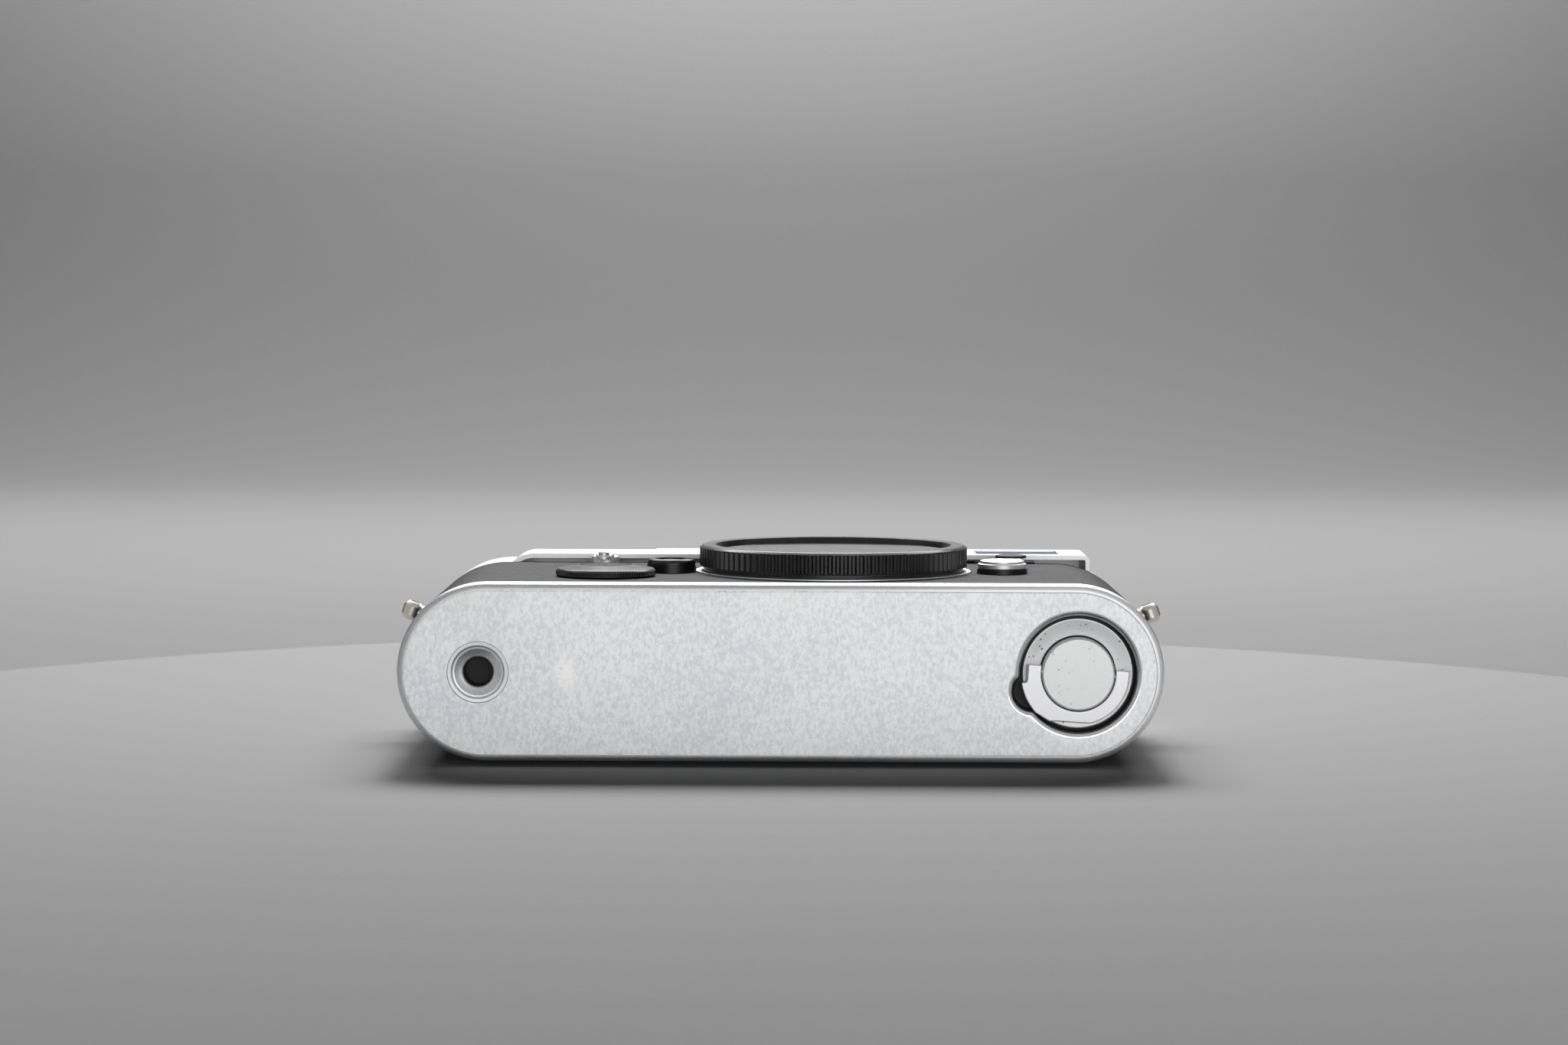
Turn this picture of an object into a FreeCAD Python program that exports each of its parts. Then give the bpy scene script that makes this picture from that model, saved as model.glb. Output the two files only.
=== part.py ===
import FreeCAD, Part

import math
import os

Vector = FreeCAD.Vector

# Rangefinder film camera lying on its back.
#
# Bench frame, used while the pieces are made: X runs across the body from its middle, Y runs up from the
# outer face of the base plate to the top plate, Z runs from the back to the lens side. Z is 0 where the
# camera rests: on the film speed dial and the eyepiece ring. The last step moves the middle of the height
# to Y 0. All sizes are in millimetres.

# Overall body
BODY_WIDTH = 138.0
BODY_THICKNESS = 32.1
BACK_STANDOFF = 1.0
BASE_LEVEL = 4.5
SKIRT_LEVEL = 57.0
LOW_DECK_LEVEL = 70.5
DECK_LEVEL = 74.0
SHOE_HEIGHT = 3.2
GAP = 0.3
RUNNING = 0.08
SNUG = 0.02

MID_Z = BACK_STANDOFF + BODY_THICKNESS / 2
FRONT_Z = BACK_STANDOFF + BODY_THICKNESS
END_X = BODY_WIDTH / 2
END_CENTRE_X = END_X - BODY_THICKNESS / 2
TOTAL_HEIGHT = DECK_LEVEL + SHOE_HEIGHT

# Base plate
PLATE_SKIN = 1.2
PLATE_RIM = 1.0
PLATE_ROUND = 1.1
BUSH_FROM_END = 14.6
BUSH_X = BUSH_FROM_END - END_X
BUSH_RADIUS = 5.55
BUSH_FLANGE_RADIUS = 6.6
BUSH_FLANGE_SKIN = 1.0
BUSH_DEPTH = 6.6
BUSH_FLOOR = 0.8
SOCKET_RADIUS = 2.55
SOCKET_CHAMFER_RADIUS = 3.3
SOCKET_MOUTH_RADIUS = 4.7
SOCKET_MOUTH_DEPTH = 0.9
HOOK_WIDTH = 8.0
HOOK_LENGTH = 2.8
HOOK_HEIGHT = 2.6

# Lock in the base plate
LOCK_FROM_END = 15.5
LOCK_X = END_X - LOCK_FROM_END
BUTTON_CHAMFER = 0.25
LOCK_TURN = 3.8
LOCK_BUTTON_RADIUS = 6.55
HANDLE_INNER = 6.7
HANDLE_TAB = 10.3
HANDLE_TAB_STEP = 1.2
HANDLE_OUTER = HANDLE_TAB - HANDLE_TAB_STEP
HANDLE_THICKNESS = 1.3
HANDLE_SINK = 0.05
HANDLE_TOP = 1.17
HANDLE_TAB_TOP = -2.15
HANDLE_FLAT = 8.7
HANDLE_TAB_END = 235.0
HANDLE_PIN_RADIUS = 0.35
CUP_RADIUS = HANDLE_TAB + 0.25
CUP_DEPTH = 2.9
CUP_WALL = 0.8
CUP_LIP = 0.6
CUP_NOTCH_RADIUS = 3.5
CUP_NOTCH_BULGE = 1.85
CUP_NOTCH_REACH = CUP_RADIUS + CUP_NOTCH_BULGE
CUP_NOTCH_ANGLE = 201.0
DISH_MARGIN = 0.65
DISH_RADIUS = CUP_RADIUS - DISH_MARGIN
DISH_TOP = 2.3
SPINDLE_RADIUS = 3.0
CAM_THICKNESS = 1.0
CAM_RADIUS = 5.0
CAM_REACH = 8.5
CAM_GAP = 0.25

# Body shell and its covering
COVER_SKIN = 0.6
SHELL_WALL = 1.6
LIP_BOTTOM = 2.0
SHELL_STEP = 1.5
SHELL_TOP = SKIRT_LEVEL + SHELL_STEP
BULKHEAD_LEVEL = 54.0
BULKHEAD_SKIN = 1.4
CHAMBER_WALL = 1.2
CHAMBER_RADIUS = 12.9

# Lens mount
LENS_X = 9.8
LENS_Y = 34.0
FLANGE_DISTANCE = 27.8
MOUNT_RADIUS = 25.8
MOUNT_PROUD = 0.2
MOUNT_FACE = 3.8
MOUNT_BORE = MOUNT_RADIUS - MOUNT_FACE
MOUNT_SLEEVE = 1.0
MOUNT_DEPTH = 3.2
MOUNT_SCREW_INSET = 1.6
MOUNT_SCREW_CIRCLE = MOUNT_RADIUS - MOUNT_SCREW_INSET
MOUNT_SCREW_RADIUS = 0.8
MOUNT_SCREW_LENGTH = 1.9
MOUNT_SCREW_COUNT = 4
MOUNT_SCREW_START = 45.0
MOUNT_Z = FRONT_Z + MOUNT_PROUD
FILM_Z = MOUNT_Z - FLANGE_DISTANCE

# Cap on the lens mount
CAP_TOP = 5.1
CAP_INSET = 0.7
CAP_KNURL_RADIUS = MOUNT_RADIUS - CAP_INSET
CAP_RIM_INSET = 0.5
CAP_RIM_RADIUS = CAP_KNURL_RADIUS - CAP_RIM_INSET
CAP_FLANGE_INSET = 0.7
CAP_FLANGE_RADIUS = CAP_KNURL_RADIUS - CAP_FLANGE_INSET
CAP_FLANGE_TOP = 1.1
CAP_CHAMFER = 0.5
CAP_RIM_WIDTH = 3.3
CAP_RECESS_RADIUS = CAP_KNURL_RADIUS - CAP_RIM_WIDTH
CAP_RECESS_DEPTH = 1.4
CAP_FLOOR = 1.5
CAP_PLUG_DEPTH = 2.2
CAP_PLUG_WALL = 1.2
CAP_SEAT_GAP = 0.1

# Battery compartment
BATTERY_X = -32.3
BATTERY_Y = 19.5
BATTERY_COVER_RADIUS = 9.2
BATTERY_COVER_RING = 8.8
BATTERY_COVER_SHOULDER = 6.5
BATTERY_COVER_NOSE = 4.85
BATTERY_COVER_RING_TOP = 1.5
BATTERY_COVER_TOP = 2.1
BATTERY_DISC_SKIN = 0.3
BATTERY_HOLDER_RADIUS = 6.5
BATTERY_HOLDER_WALL = 0.6
BATTERY_RADIUS = 5.75
BATTERY_HEIGHT = 5.3
BATTERY_COUNT = 2

# Rewind release lever
REWIND_LEVER_X = -33.9
REWIND_LEVER_Y = 52.9
REWIND_HUB_RADIUS = 2.7
REWIND_HUB_TOP = 1.6
REWIND_ARM_LENGTH = 7.0
REWIND_ARM_WIDTH = 3.7
REWIND_ARM_SKIN = 0.7
REWIND_TAB_WIDTH = 2.1
REWIND_TAB_TOP = 2.9
LEVER_STEM_RADIUS = 1.2

# Lens release
LENS_BUTTON_X = -20.5
LENS_BUTTON_Y = 31.0
LENS_COLLAR_RADIUS = 4.6
LENS_COLLAR_INNER = 3.1
LENS_COLLAR_TOP = 2.5
LENS_COLLAR_ROUND = 0.8
LENS_BUTTON_TOP = 2.2
LENS_BUTTON_TRAVEL = 1.5

# Frame selector lever
FRAME_LEVER_X = 41.3
FRAME_LEVER_Y = 30.0
FRAME_BASE_RADIUS = 4.75
FRAME_BASE_TOP = 0.9
FRAME_STEP_RADIUS = 4.55
FRAME_STEP_TOP = 1.9
FRAME_CAP_RADIUS = 4.07
FRAME_CAP_TOP = 2.5
FRAME_ARM_LENGTH = 15.0
FRAME_ARM_LEAN = 9.5
FRAME_ARM_WIDTH = 5.0
FRAME_ARM_SKIN = 0.8
FRAME_TIP_RADIUS = 3.0

# Strap lugs
LUG_Y = SKIRT_LEVEL - 2.6
LUG_LEAN = 20.0
LUG_THICKNESS = 3.8
LUG_EYE_RADIUS = 2.1
LUG_REACH = 5.4
LUG_HOLE_RADIUS = 1.1
LUG_STEM_RADIUS = 1.5
LUG_STEM_DEPTH = 1.5

# Top plate
TOP_SKIN = 0.9
FACADE_PROUD = 1.6
FACADE_LEFT = -54.0
FACADE_RIGHT = 59.9
FACADE_ROUND = 1.2
FACADE_BLEND = 6.0
FACADE_RETURN = 9.0
STEP_X = -25.5
DECK_RIGHT = 57.4
TOP_SCREW_RADIUS = 0.9

# Windows in the facade
WINDOW_SKIN = 1.0
WINDOW_LOW = 60.5
WINDOW_HIGH = 71.5
RANGE_WINDOW_LEFT = -6.0
RANGE_WINDOW_RIGHT = 0.0
LIGHT_WINDOW_LEFT = 6.0
LIGHT_WINDOW_RIGHT = 30.0
FINDER_WINDOW_LEFT = 38.0
FINDER_WINDOW_RIGHT = 54.0
EYEPIECE_X = 45.5
EYEPIECE_FLANGE = 1.0
EYEPIECE_Y = 65.5
EYEPIECE_RADIUS = 5.5
EYEPIECE_BORE = 3.9
EYEPIECE_DEPTH = 3.0
EYE_LENS_SKIN = 1.0

# Advance lever and shutter release
RELEASE_X = -50.0
RELEASE_COLLAR_RADIUS = 4.9
RELEASE_COLLAR_INNER = 3.6
RELEASE_COLLAR_TOP = 6.0
RELEASE_BUTTON_RADIUS = 3.35
RELEASE_BUTTON_TOP = 5.4
RELEASE_BUTTON_SKIN = 2.0
RELEASE_STEM_RADIUS = 1.2
RELEASE_STEM_LENGTH = 9.0
RELEASE_TRAVEL = 1.5
ADVANCE_BOSS_RADIUS = 7.6
ADVANCE_BOSS_TOP = 4.6
ADVANCE_ARM_SKIN = 1.5
ADVANCE_ARM_LENGTH = 13.5
ADVANCE_ARM_WIDTH = 6.0
ADVANCE_ARM_ANGLE = 216.0
TIP_LENGTH = 6.0
TIP_WIDTH = 4.0
TIP_HEIGHT = 2.4
TIP_TURN = 24.0
TIP_PIN_RADIUS = 0.6

# Shutter speed dial, frame counter
DIAL_RADIUS = 6.9
DIAL_HEIGHT = 4.2
DIAL_X = STEP_X - 0.9 - DIAL_RADIUS
DIAL_STEM_RADIUS = 1.5
DIAL_STEM_LENGTH = 5.0
COUNTER_X = -62.0
COUNTER_RADIUS = 2.6
COUNTER_LENS_SKIN = 1.1
COUNTER_DISC_RADIUS = 5.0
COUNTER_DISC_X = -59.5
COUNTER_DISC_DROP = 2.6
COUNTER_DISC_SKIN = 0.6

# Accessory shoe
SHOE_X = 9.8
SHOE_WIDTH = 21.0
SHOE_DEPTH = 18.0
SHOE_SLOT_WIDTH = 18.7
SHOE_LIP_GAP = 12.5
SHOE_FLOOR = 0.7
SHOE_LIP = 0.6
SHOE_CONTACT_RADIUS = 1.6
SHOE_SCREW_RADIUS = 1.0
SHOE_SCREW_SPAN_X = 12.0
SHOE_SCREW_SPAN_Z = 11.0

# Rewind knob on its sloping shelf
FORK_FROM_END = 15.5
FORK_X = END_X - FORK_FROM_END
KNOB_TILT = 25.0
KNOB_PIVOT_Y = 60.5
KNOB_SEAT = 6.3
KNOB_RADIUS = 6.4
KNOB_HEIGHT = 4.6
KNOB_RECESS = 7.6
KNOB_SHAFT_RADIUS = 1.5
CRANK_SKIN = 1.3
CRANK_WIDTH = 4.0
CRANK_PIN_RADIUS = 0.3
CRANK_GRIP_RADIUS = 1.7
CRANK_GRIP_HEIGHT = 1.2
BEVEL_RADIUS = 3.6
BEVEL_SKIN = 1.2

# Film path
SPOOL_RADIUS = 7.0
SPOOL_FLANGE_RADIUS = 11.0
SPOOL_FLANGE_SKIN = 1.2
SPOOL_BOTTOM = 9.0
SHAFT_RADIUS = 1.8
SPROCKET_X = -34.0
SPROCKET_LIFT = 5.0
SPROCKET_Z = FILM_Z + SPROCKET_LIFT
SPROCKET_RADIUS = 4.6
SPROCKET_TOOTH = 0.9
SPROCKET_TOOTH_WIDTH = 1.1
SPROCKET_TOOTH_COUNT = 8
SPROCKET_WHEEL_SKIN = 2.0
FILM_WIDTH = 35.0
FORK_RADIUS = 3.4
FORK_LENGTH = 5.0
FORK_BLADE = 1.2

# Film gate, shutter crate, curtains
GATE_WIDTH = 36.0
GATE_HEIGHT = 24.0
GATE_LEFT = -21.5
GATE_RIGHT = 38.0
GATE_BOTTOM = 9.0
GATE_TOP = 53.5
GATE_SKIN = 1.4
CRATE_WALL = 1.2
CRATE_SETBACK = 7.1
CRATE_FRONT = FRONT_Z - CRATE_SETBACK
CRATE_BORE_STEP = 1.5
CRATE_BORE = MOUNT_BORE - CRATE_BORE_STEP
CURTAIN_SKIN = 0.3
CURTAIN_GAP = 0.4
CURTAIN_RISE = 1.6
DRUM_RADIUS = 2.6
DRUM_LIFT = 9.5
DRUM_Z = FILM_Z + DRUM_LIFT
DRUM_INSET = 5.0
DRUM_SHIFT = 1.0
ARM_RISE = 1.2
ARM_SKIN = 2.0
ARM_REACH = 15.2
ARM_PIN_RADIUS = 0.8
ARM_FOOT = 2.0
ARM_EYE_RADIUS = 1.5
ROLLER_RADIUS = 1.8
ROLLER_OFFSET = 18.0

# Back door
DOOR_LEFT = -35.0
DOOR_RIGHT = 38.0
DOOR_BOTTOM = 5.4
DOOR_SKIN = 1.6
DOOR_HINGE_Y = 55.1
DOOR_KNUCKLE = 0.9
DOOR_PIN_RADIUS = 0.4
DOOR_PIN_OVERLAP = 2.5
SPEED_DIAL_X = 1.5
SPEED_DIAL_Y = 33.0
SPEED_DIAL_RADIUS = 13.5
SPEED_DIAL_SINK = 0.5
PLATEN_WIDTH = 50.0
PLATEN_HEIGHT = 33.0
PLATEN_SKIN = 1.1
PLATEN_GAP = 0.25
SPRING_INSET = 10.0
SPRING_FOOT_WIDTH = 6.0
SPRING_WIDTH = 4.0

FAR = 200.0
PAST = 1.0
SAME = 1e-4


def box(x_range, y_range, z_range):
    """A block between two values on each axis."""
    size = [high - low for low, high in (x_range, y_range, z_range)]
    return Part.makeBox(*size, Vector(x_range[0], y_range[0], z_range[0]))


def rod(radius, start, direction, length):
    """A round rod from a start point."""
    return Part.makeCylinder(radius, length, Vector(*start), Vector(*direction))


def rod_y(radius, x, z, low, high):
    """A round rod along Y."""
    return rod(radius, (x, low, z), (0, 1, 0), high - low)


def rod_z(radius, x, y, low, high):
    """A round rod along Z."""
    return rod(radius, (x, y, low), (0, 0, 1), high - low)


def ring_y(outer, inner, x, z, low, high):
    """A plain ring along Y."""
    return rod_y(outer, x, z, low, high).cut(rod_y(inner, x, z, low - GAP, high + GAP))


def ring_z(outer, inner, x, y, low, high):
    """A plain ring along Z."""
    return rod_z(outer, x, y, low, high).cut(rod_z(inner, x, y, low - GAP, high + GAP))


def cone_y(first, second, x, z, low, high):
    """A cone along Y with its first radius at the low end."""
    return Part.makeCone(first, second, high - low, Vector(x, low, z), Vector(0, 1, 0))


def stadium(inset, low, high):
    """The body's outline drawn in by an inset, as a prism along Y."""
    radius = BODY_THICKNESS / 2 - inset
    top, bottom = MID_Z + radius, MID_Z - radius
    left, right = -END_CENTRE_X, END_CENTRE_X
    edges = [
        Part.LineSegment(Vector(left, low, top), Vector(right, low, top)),
        Part.Arc(Vector(right, low, top), Vector(right + radius, low, MID_Z), Vector(right, low, bottom)),
        Part.LineSegment(Vector(right, low, bottom), Vector(left, low, bottom)),
        Part.Arc(Vector(left, low, bottom), Vector(left - radius, low, MID_Z), Vector(left, low, top)),
    ]
    wire = Part.Wire([edge.toShape() for edge in edges])
    return Part.Face(wire).extrude(Vector(0, high - low, 0))


def edges_at_y(shape, level):
    """The edges that lie in the plane of one Y level."""
    return [
        edge
        for edge in shape.Edges
        if all(abs(vertex.Point.y - level) < SAME for vertex in edge.Vertexes)
        and abs(edge.CenterOfMass.y - level) < SAME
    ]


def edges_at_z(shape, level):
    """The edges that lie in the plane of one Z level."""
    return [
        edge
        for edge in shape.Edges
        if all(abs(vertex.Point.z - level) < SAME for vertex in edge.Vertexes)
        and abs(edge.CenterOfMass.z - level) < SAME
    ]


def turned(profile, x, y):
    """A body of revolution about a Z axis through (x, y) from (radius, z) corners."""
    points = [Vector(x + radius, y, z) for radius, z in profile]
    face = Part.Face(Part.makePolygon(points + points[:1]))
    return face.revolve(Vector(x, y, 0), Vector(0, 0, 1), 360)


def bar(start, end, width, low, high):
    """A round-ended flat bar between two (x, y) points, lying between two Z levels."""
    length = math.dist(start, end)
    angle = math.degrees(math.atan2(end[1] - start[1], end[0] - start[0]))
    middle = box((0, length), (-width / 2, width / 2), (low, high))
    ends = [rod_z(width / 2, at, 0, low, high) for at in (0, length)]
    shape = middle.fuse(ends).removeSplitter()
    shape.rotate(Vector(0, 0, 0), Vector(0, 0, 1), angle)
    shape.translate(Vector(start[0], start[1], 0))
    return shape


def turn_lock(shape):
    """Turns a piece of the lock to the angle at which the lock rests."""
    shape.rotate(Vector(LOCK_X, 0, MID_Z), Vector(0, 1, 0), LOCK_TURN)
    return shape


def tilt_knob(shape):
    """Tilts a piece made upright on the knob's pivot to the shelf's slope."""
    shape.rotate(Vector(FORK_X, KNOB_PIVOT_Y, MID_Z), Vector(0, 0, 1), -KNOB_TILT)
    return shape


def base_plate():
    """The base plate: a shallow tray with a pressed cup for the lock."""
    plate = stadium(0, 0, BASE_LEVEL)
    plate = plate.makeFillet(PLATE_ROUND, edges_at_y(plate, 0))
    plate = plate.cut(stadium(PLATE_RIM, PLATE_SKIN, BASE_LEVEL + GAP))
    cup_floor = CUP_DEPTH + CUP_WALL
    notch = CUP_NOTCH_REACH - CUP_NOTCH_RADIUS
    notch_x = LOCK_X + notch * math.cos(math.radians(CUP_NOTCH_ANGLE))
    notch_z = MID_Z + notch * math.sin(math.radians(CUP_NOTCH_ANGLE))
    outside = rod_y(CUP_RADIUS + CUP_WALL, LOCK_X, MID_Z, PLATE_SKIN / 2, cup_floor)
    outside = outside.fuse(rod_y(CUP_NOTCH_RADIUS + CUP_WALL, notch_x, notch_z, PLATE_SKIN / 2, cup_floor))
    outside = outside.common(stadium(PLATE_RIM / 2, 0, cup_floor))
    inside = rod_y(CUP_RADIUS, LOCK_X, MID_Z, -1, CUP_DEPTH)
    inside = inside.fuse(rod_y(CUP_NOTCH_RADIUS, notch_x, notch_z, -1, CUP_DEPTH))
    plate = plate.fuse(outside).cut(inside)
    mouth = [
        edge for edge in edges_at_y(plate, 0)
        if edge.BoundBox.XLength < 2 * CUP_NOTCH_REACH and abs(edge.BoundBox.Center.x - LOCK_X) < CUP_RADIUS
    ]
    plate = plate.makeFillet(CUP_LIP, mouth)
    plate = plate.cut(rod_y(SPINDLE_RADIUS + RUNNING, LOCK_X, MID_Z, 0, cup_floor + GAP))
    return plate.cut(rod_y(BUSH_RADIUS + SNUG, BUSH_X, MID_Z, -1, BASE_LEVEL))


def tripod_bush():
    """The threaded bush for a tripod screw, with its flange inside the base plate."""
    bush = rod_y(BUSH_RADIUS, BUSH_X, MID_Z, 0, BUSH_DEPTH)
    bush = bush.fuse(rod_y(BUSH_FLANGE_RADIUS, BUSH_X, MID_Z, PLATE_SKIN, PLATE_SKIN + BUSH_FLANGE_SKIN))
    bush = bush.cut(rod_y(SOCKET_RADIUS, BUSH_X, MID_Z, 0, BUSH_DEPTH - BUSH_FLOOR))
    return bush.cut(cone_y(SOCKET_MOUTH_RADIUS, SOCKET_CHAMFER_RADIUS, BUSH_X, MID_Z, 0, SOCKET_MOUTH_DEPTH))


def base_hook():
    """The catch inside the base plate's end that hooks on the body."""
    inner_end = BODY_THICKNESS / 2 - PLATE_RIM - GAP - SHELL_WALL - GAP
    left = -END_CENTRE_X - math.sqrt(inner_end**2 - (HOOK_WIDTH / 2) ** 2)
    sides = (MID_Z - HOOK_WIDTH / 2, MID_Z + HOOK_WIDTH / 2)
    return box((left, left + HOOK_LENGTH), (PLATE_SKIN, PLATE_SKIN + HOOK_HEIGHT), sides)


def lock_button():
    """The round button that carries the handle, with the spindle that turns the cam."""
    button = rod_y(LOCK_BUTTON_RADIUS, LOCK_X, MID_Z, 0, CUP_DEPTH - RUNNING)
    button = button.makeChamfer(BUTTON_CHAMFER, edges_at_y(button, 0))
    cam_top = CUP_DEPTH + CUP_WALL + CAM_GAP + CAM_THICKNESS
    button = button.fuse(rod_y(SPINDLE_RADIUS, LOCK_X, MID_Z, CUP_DEPTH / 2, cam_top))
    return turn_lock(button.cut(lock_pin_rods(SNUG)).removeSplitter())


def lock_pin_rods(extra):
    """The two hinge pins of the handle, thicker by an extra amount for their holes."""
    inner = LOCK_BUTTON_RADIUS - PLATE_SKIN
    length = HANDLE_OUTER - GAP * 2 - inner
    level = HANDLE_SINK + HANDLE_THICKNESS / 2
    rods = [
        rod(HANDLE_PIN_RADIUS + extra, (LOCK_X + side * inner, level, MID_Z), (side, 0, 0), length)
        for side in (-1, 1)
    ]
    return Part.makeCompound(rods)


def lock_pins():
    """The handle's two hinge pins, pressed into the button."""
    return turn_lock(lock_pin_rods(0))


def lock_handle():
    """The folding handle: half a ring with a finger tab, on two legs."""
    low, high = HANDLE_SINK, HANDLE_SINK + HANDLE_THICKNESS
    z_low = MID_Z - HANDLE_TAB - GAP
    ring = ring_y(HANDLE_OUTER, HANDLE_INNER, LOCK_X, MID_Z, low, high)
    reach = (LOCK_X - HANDLE_OUTER, LOCK_X + HANDLE_OUTER)
    ring = ring.common(box(reach, (low, high), (MID_Z - HANDLE_FLAT, MID_Z)))
    legs = [
        box(sorted((LOCK_X + side * HANDLE_INNER, LOCK_X + side * HANDLE_OUTER)), (low, high),
            (MID_Z, MID_Z + HANDLE_TOP))
        for side in (-1, 1)
    ]
    tab = ring_y(HANDLE_TAB, HANDLE_INNER, LOCK_X, MID_Z, low, high)
    tab = tab.common(box((LOCK_X - FAR, LOCK_X), (low, high), (z_low, MID_Z + HANDLE_TAB_TOP)))
    slope = math.radians(HANDLE_TAB_END)
    edge = Vector(math.cos(slope), 0, math.sin(slope))
    corners = [Vector(LOCK_X, low, MID_Z), Vector(LOCK_X, low, MID_Z) + edge * FAR,
               Vector(LOCK_X - FAR, low, MID_Z)]
    wedge = Part.Face(Part.makePolygon(corners + corners[:1])).extrude(Vector(0, HANDLE_THICKNESS, 0))
    handle = ring.fuse(legs + [tab.common(wedge)]).removeSplitter()
    return turn_lock(handle.cut(lock_pin_rods(RUNNING)))


def lock_dish():
    """The bright washer on the cup's floor, under the handle."""
    return ring_y(DISH_RADIUS, LOCK_BUTTON_RADIUS + GAP, LOCK_X, MID_Z, DISH_TOP, CUP_DEPTH)


def lock_cam():
    """The cam on the inner end of the spindle that draws the base plate tight."""
    low = CUP_DEPTH + CUP_WALL + CAM_GAP
    high = low + CAM_THICKNESS
    cam = rod_y(CAM_RADIUS, LOCK_X, MID_Z, low, high)
    arm = box((LOCK_X, LOCK_X + CAM_REACH), (low, high), (MID_Z, MID_Z + CAM_RADIUS))
    cam = cam.fuse(arm).removeSplitter()
    return turn_lock(cam.cut(rod_y(SPINDLE_RADIUS + SNUG, LOCK_X, MID_Z, low, high)))


def door_gap(extra):
    """The block that the back door needs in the body's back wall."""
    depth = BACK_STANDOFF + DOOR_SKIN + GAP * 2
    top = DOOR_HINGE_Y + DOOR_KNUCKLE + GAP
    return box((DOOR_LEFT - extra, DOOR_RIGHT + extra), (DOOR_BOTTOM - GAP, top), (-1, depth))


def body_shell():
    """The die-cast body: an open tube with a bulkhead, chamber walls and a battery well."""
    skin = COVER_SKIN
    tube = stadium(skin, BASE_LEVEL + GAP / 2, SKIRT_LEVEL)
    tube = tube.fuse(stadium(PLATE_RIM + GAP, LIP_BOTTOM, BASE_LEVEL + GAP))
    tube = tube.fuse(stadium(TOP_SKIN + SNUG, SKIRT_LEVEL - GAP, SHELL_TOP))
    inner = skin + SHELL_WALL
    cavity = stadium(inner, 0, BULKHEAD_LEVEL)
    cavity = cavity.fuse(stadium(inner, BULKHEAD_LEVEL + BULKHEAD_SKIN, SHELL_TOP + GAP))
    shell = tube.cut(cavity)
    chamber = box((FORK_X - CHAMBER_RADIUS - CHAMBER_WALL, FORK_X - CHAMBER_RADIUS),
                  (BASE_LEVEL + GAP, BULKHEAD_LEVEL), (FILM_Z + GAP, FRONT_Z - inner))
    shell = shell.fuse(chamber)
    well = rod_z(BATTERY_HOLDER_RADIUS + CHAMBER_WALL, BATTERY_X, BATTERY_Y, battery_floor() - CHAMBER_WALL,
                 FRONT_Z - inner)
    shell = shell.fuse(well)
    shell = shell.cut(rod_z(BATTERY_HOLDER_RADIUS + GAP, BATTERY_X, BATTERY_Y, battery_floor(),
                            FRONT_Z + PAST))
    shell = shell.cut(rod_z(MOUNT_BORE + MOUNT_SLEEVE + SNUG, LENS_X, LENS_Y, MID_Z, FRONT_Z + PAST))
    shell = shell.cut(door_gap(GAP))
    shafts = [
        rod_y(SHAFT_RADIUS + RUNNING, -END_CENTRE_X, MID_Z, MID_Z, FAR),
        rod_y(SHAFT_RADIUS + RUNNING, SPROCKET_X, SPROCKET_Z, MID_Z, FAR),
        rod_y(SHAFT_RADIUS + RUNNING, FORK_X, MID_Z, MID_Z, FAR),
    ]
    stems = [
        rod_z(LEVER_STEM_RADIUS + RUNNING, REWIND_LEVER_X, REWIND_LEVER_Y, MID_Z, FRONT_Z),
        rod_z(LEVER_STEM_RADIUS + RUNNING, FRAME_LEVER_X, FRAME_LEVER_Y, MID_Z, FRONT_Z),
        rod_z(LEVER_STEM_RADIUS + RUNNING, LENS_BUTTON_X, LENS_BUTTON_Y, MID_Z, FRONT_Z),
    ]
    shell = shell.cut(Part.makeCompound(shafts + stems))
    shell = shell.cut(Part.makeCompound(mount_screw_rods(SNUG)))
    shell = shell.cut(door_pin_rod(SNUG))
    return shell.cut(lug_stems(SNUG)).removeSplitter()


def body_covering():
    """The leatherette around the body, with holes for what stands on it."""
    skin = stadium(0, BASE_LEVEL + GAP / 2, SKIRT_LEVEL).cut(stadium(COVER_SKIN, 0, FAR))
    skin = skin.cut(door_gap(GAP)).cut(door_pin_rod(SNUG))
    skin = skin.cut(rod_z(MOUNT_RADIUS + SNUG, LENS_X, LENS_Y, MID_Z, FRONT_Z + PAST))
    skin = skin.cut(rod_z(BATTERY_HOLDER_RADIUS + GAP, BATTERY_X, BATTERY_Y, MID_Z, FRONT_Z + PAST))
    skin = skin.cut(rod_z(REWIND_HUB_RADIUS + GAP, REWIND_LEVER_X, REWIND_LEVER_Y, MID_Z, FRONT_Z + PAST))
    skin = skin.cut(rod_z(LENS_COLLAR_RADIUS + SNUG, LENS_BUTTON_X, LENS_BUTTON_Y, MID_Z, FRONT_Z + PAST))
    skin = skin.cut(rod_z(FRAME_BASE_RADIUS + SNUG, FRAME_LEVER_X, FRAME_LEVER_Y, MID_Z, FRONT_Z + PAST))
    return skin.cut(lug_stems(GAP))


def mount_screw_places():
    """The centres of the screws around the lens mount."""
    angles = [math.radians(MOUNT_SCREW_START + 360 / MOUNT_SCREW_COUNT * i) for i in range(MOUNT_SCREW_COUNT)]
    return [
        (LENS_X + MOUNT_SCREW_CIRCLE * math.cos(a), LENS_Y + MOUNT_SCREW_CIRCLE * math.sin(a))
        for a in angles
    ]


def mount_screw_rods(extra):
    """The mount's screws, thicker by an extra amount for their holes."""
    top = MOUNT_Z - SNUG
    return [
        rod_z(MOUNT_SCREW_RADIUS + extra, x, y, top - MOUNT_SCREW_LENGTH - extra, top + extra * 2)
        for x, y in mount_screw_places()
    ]


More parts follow.
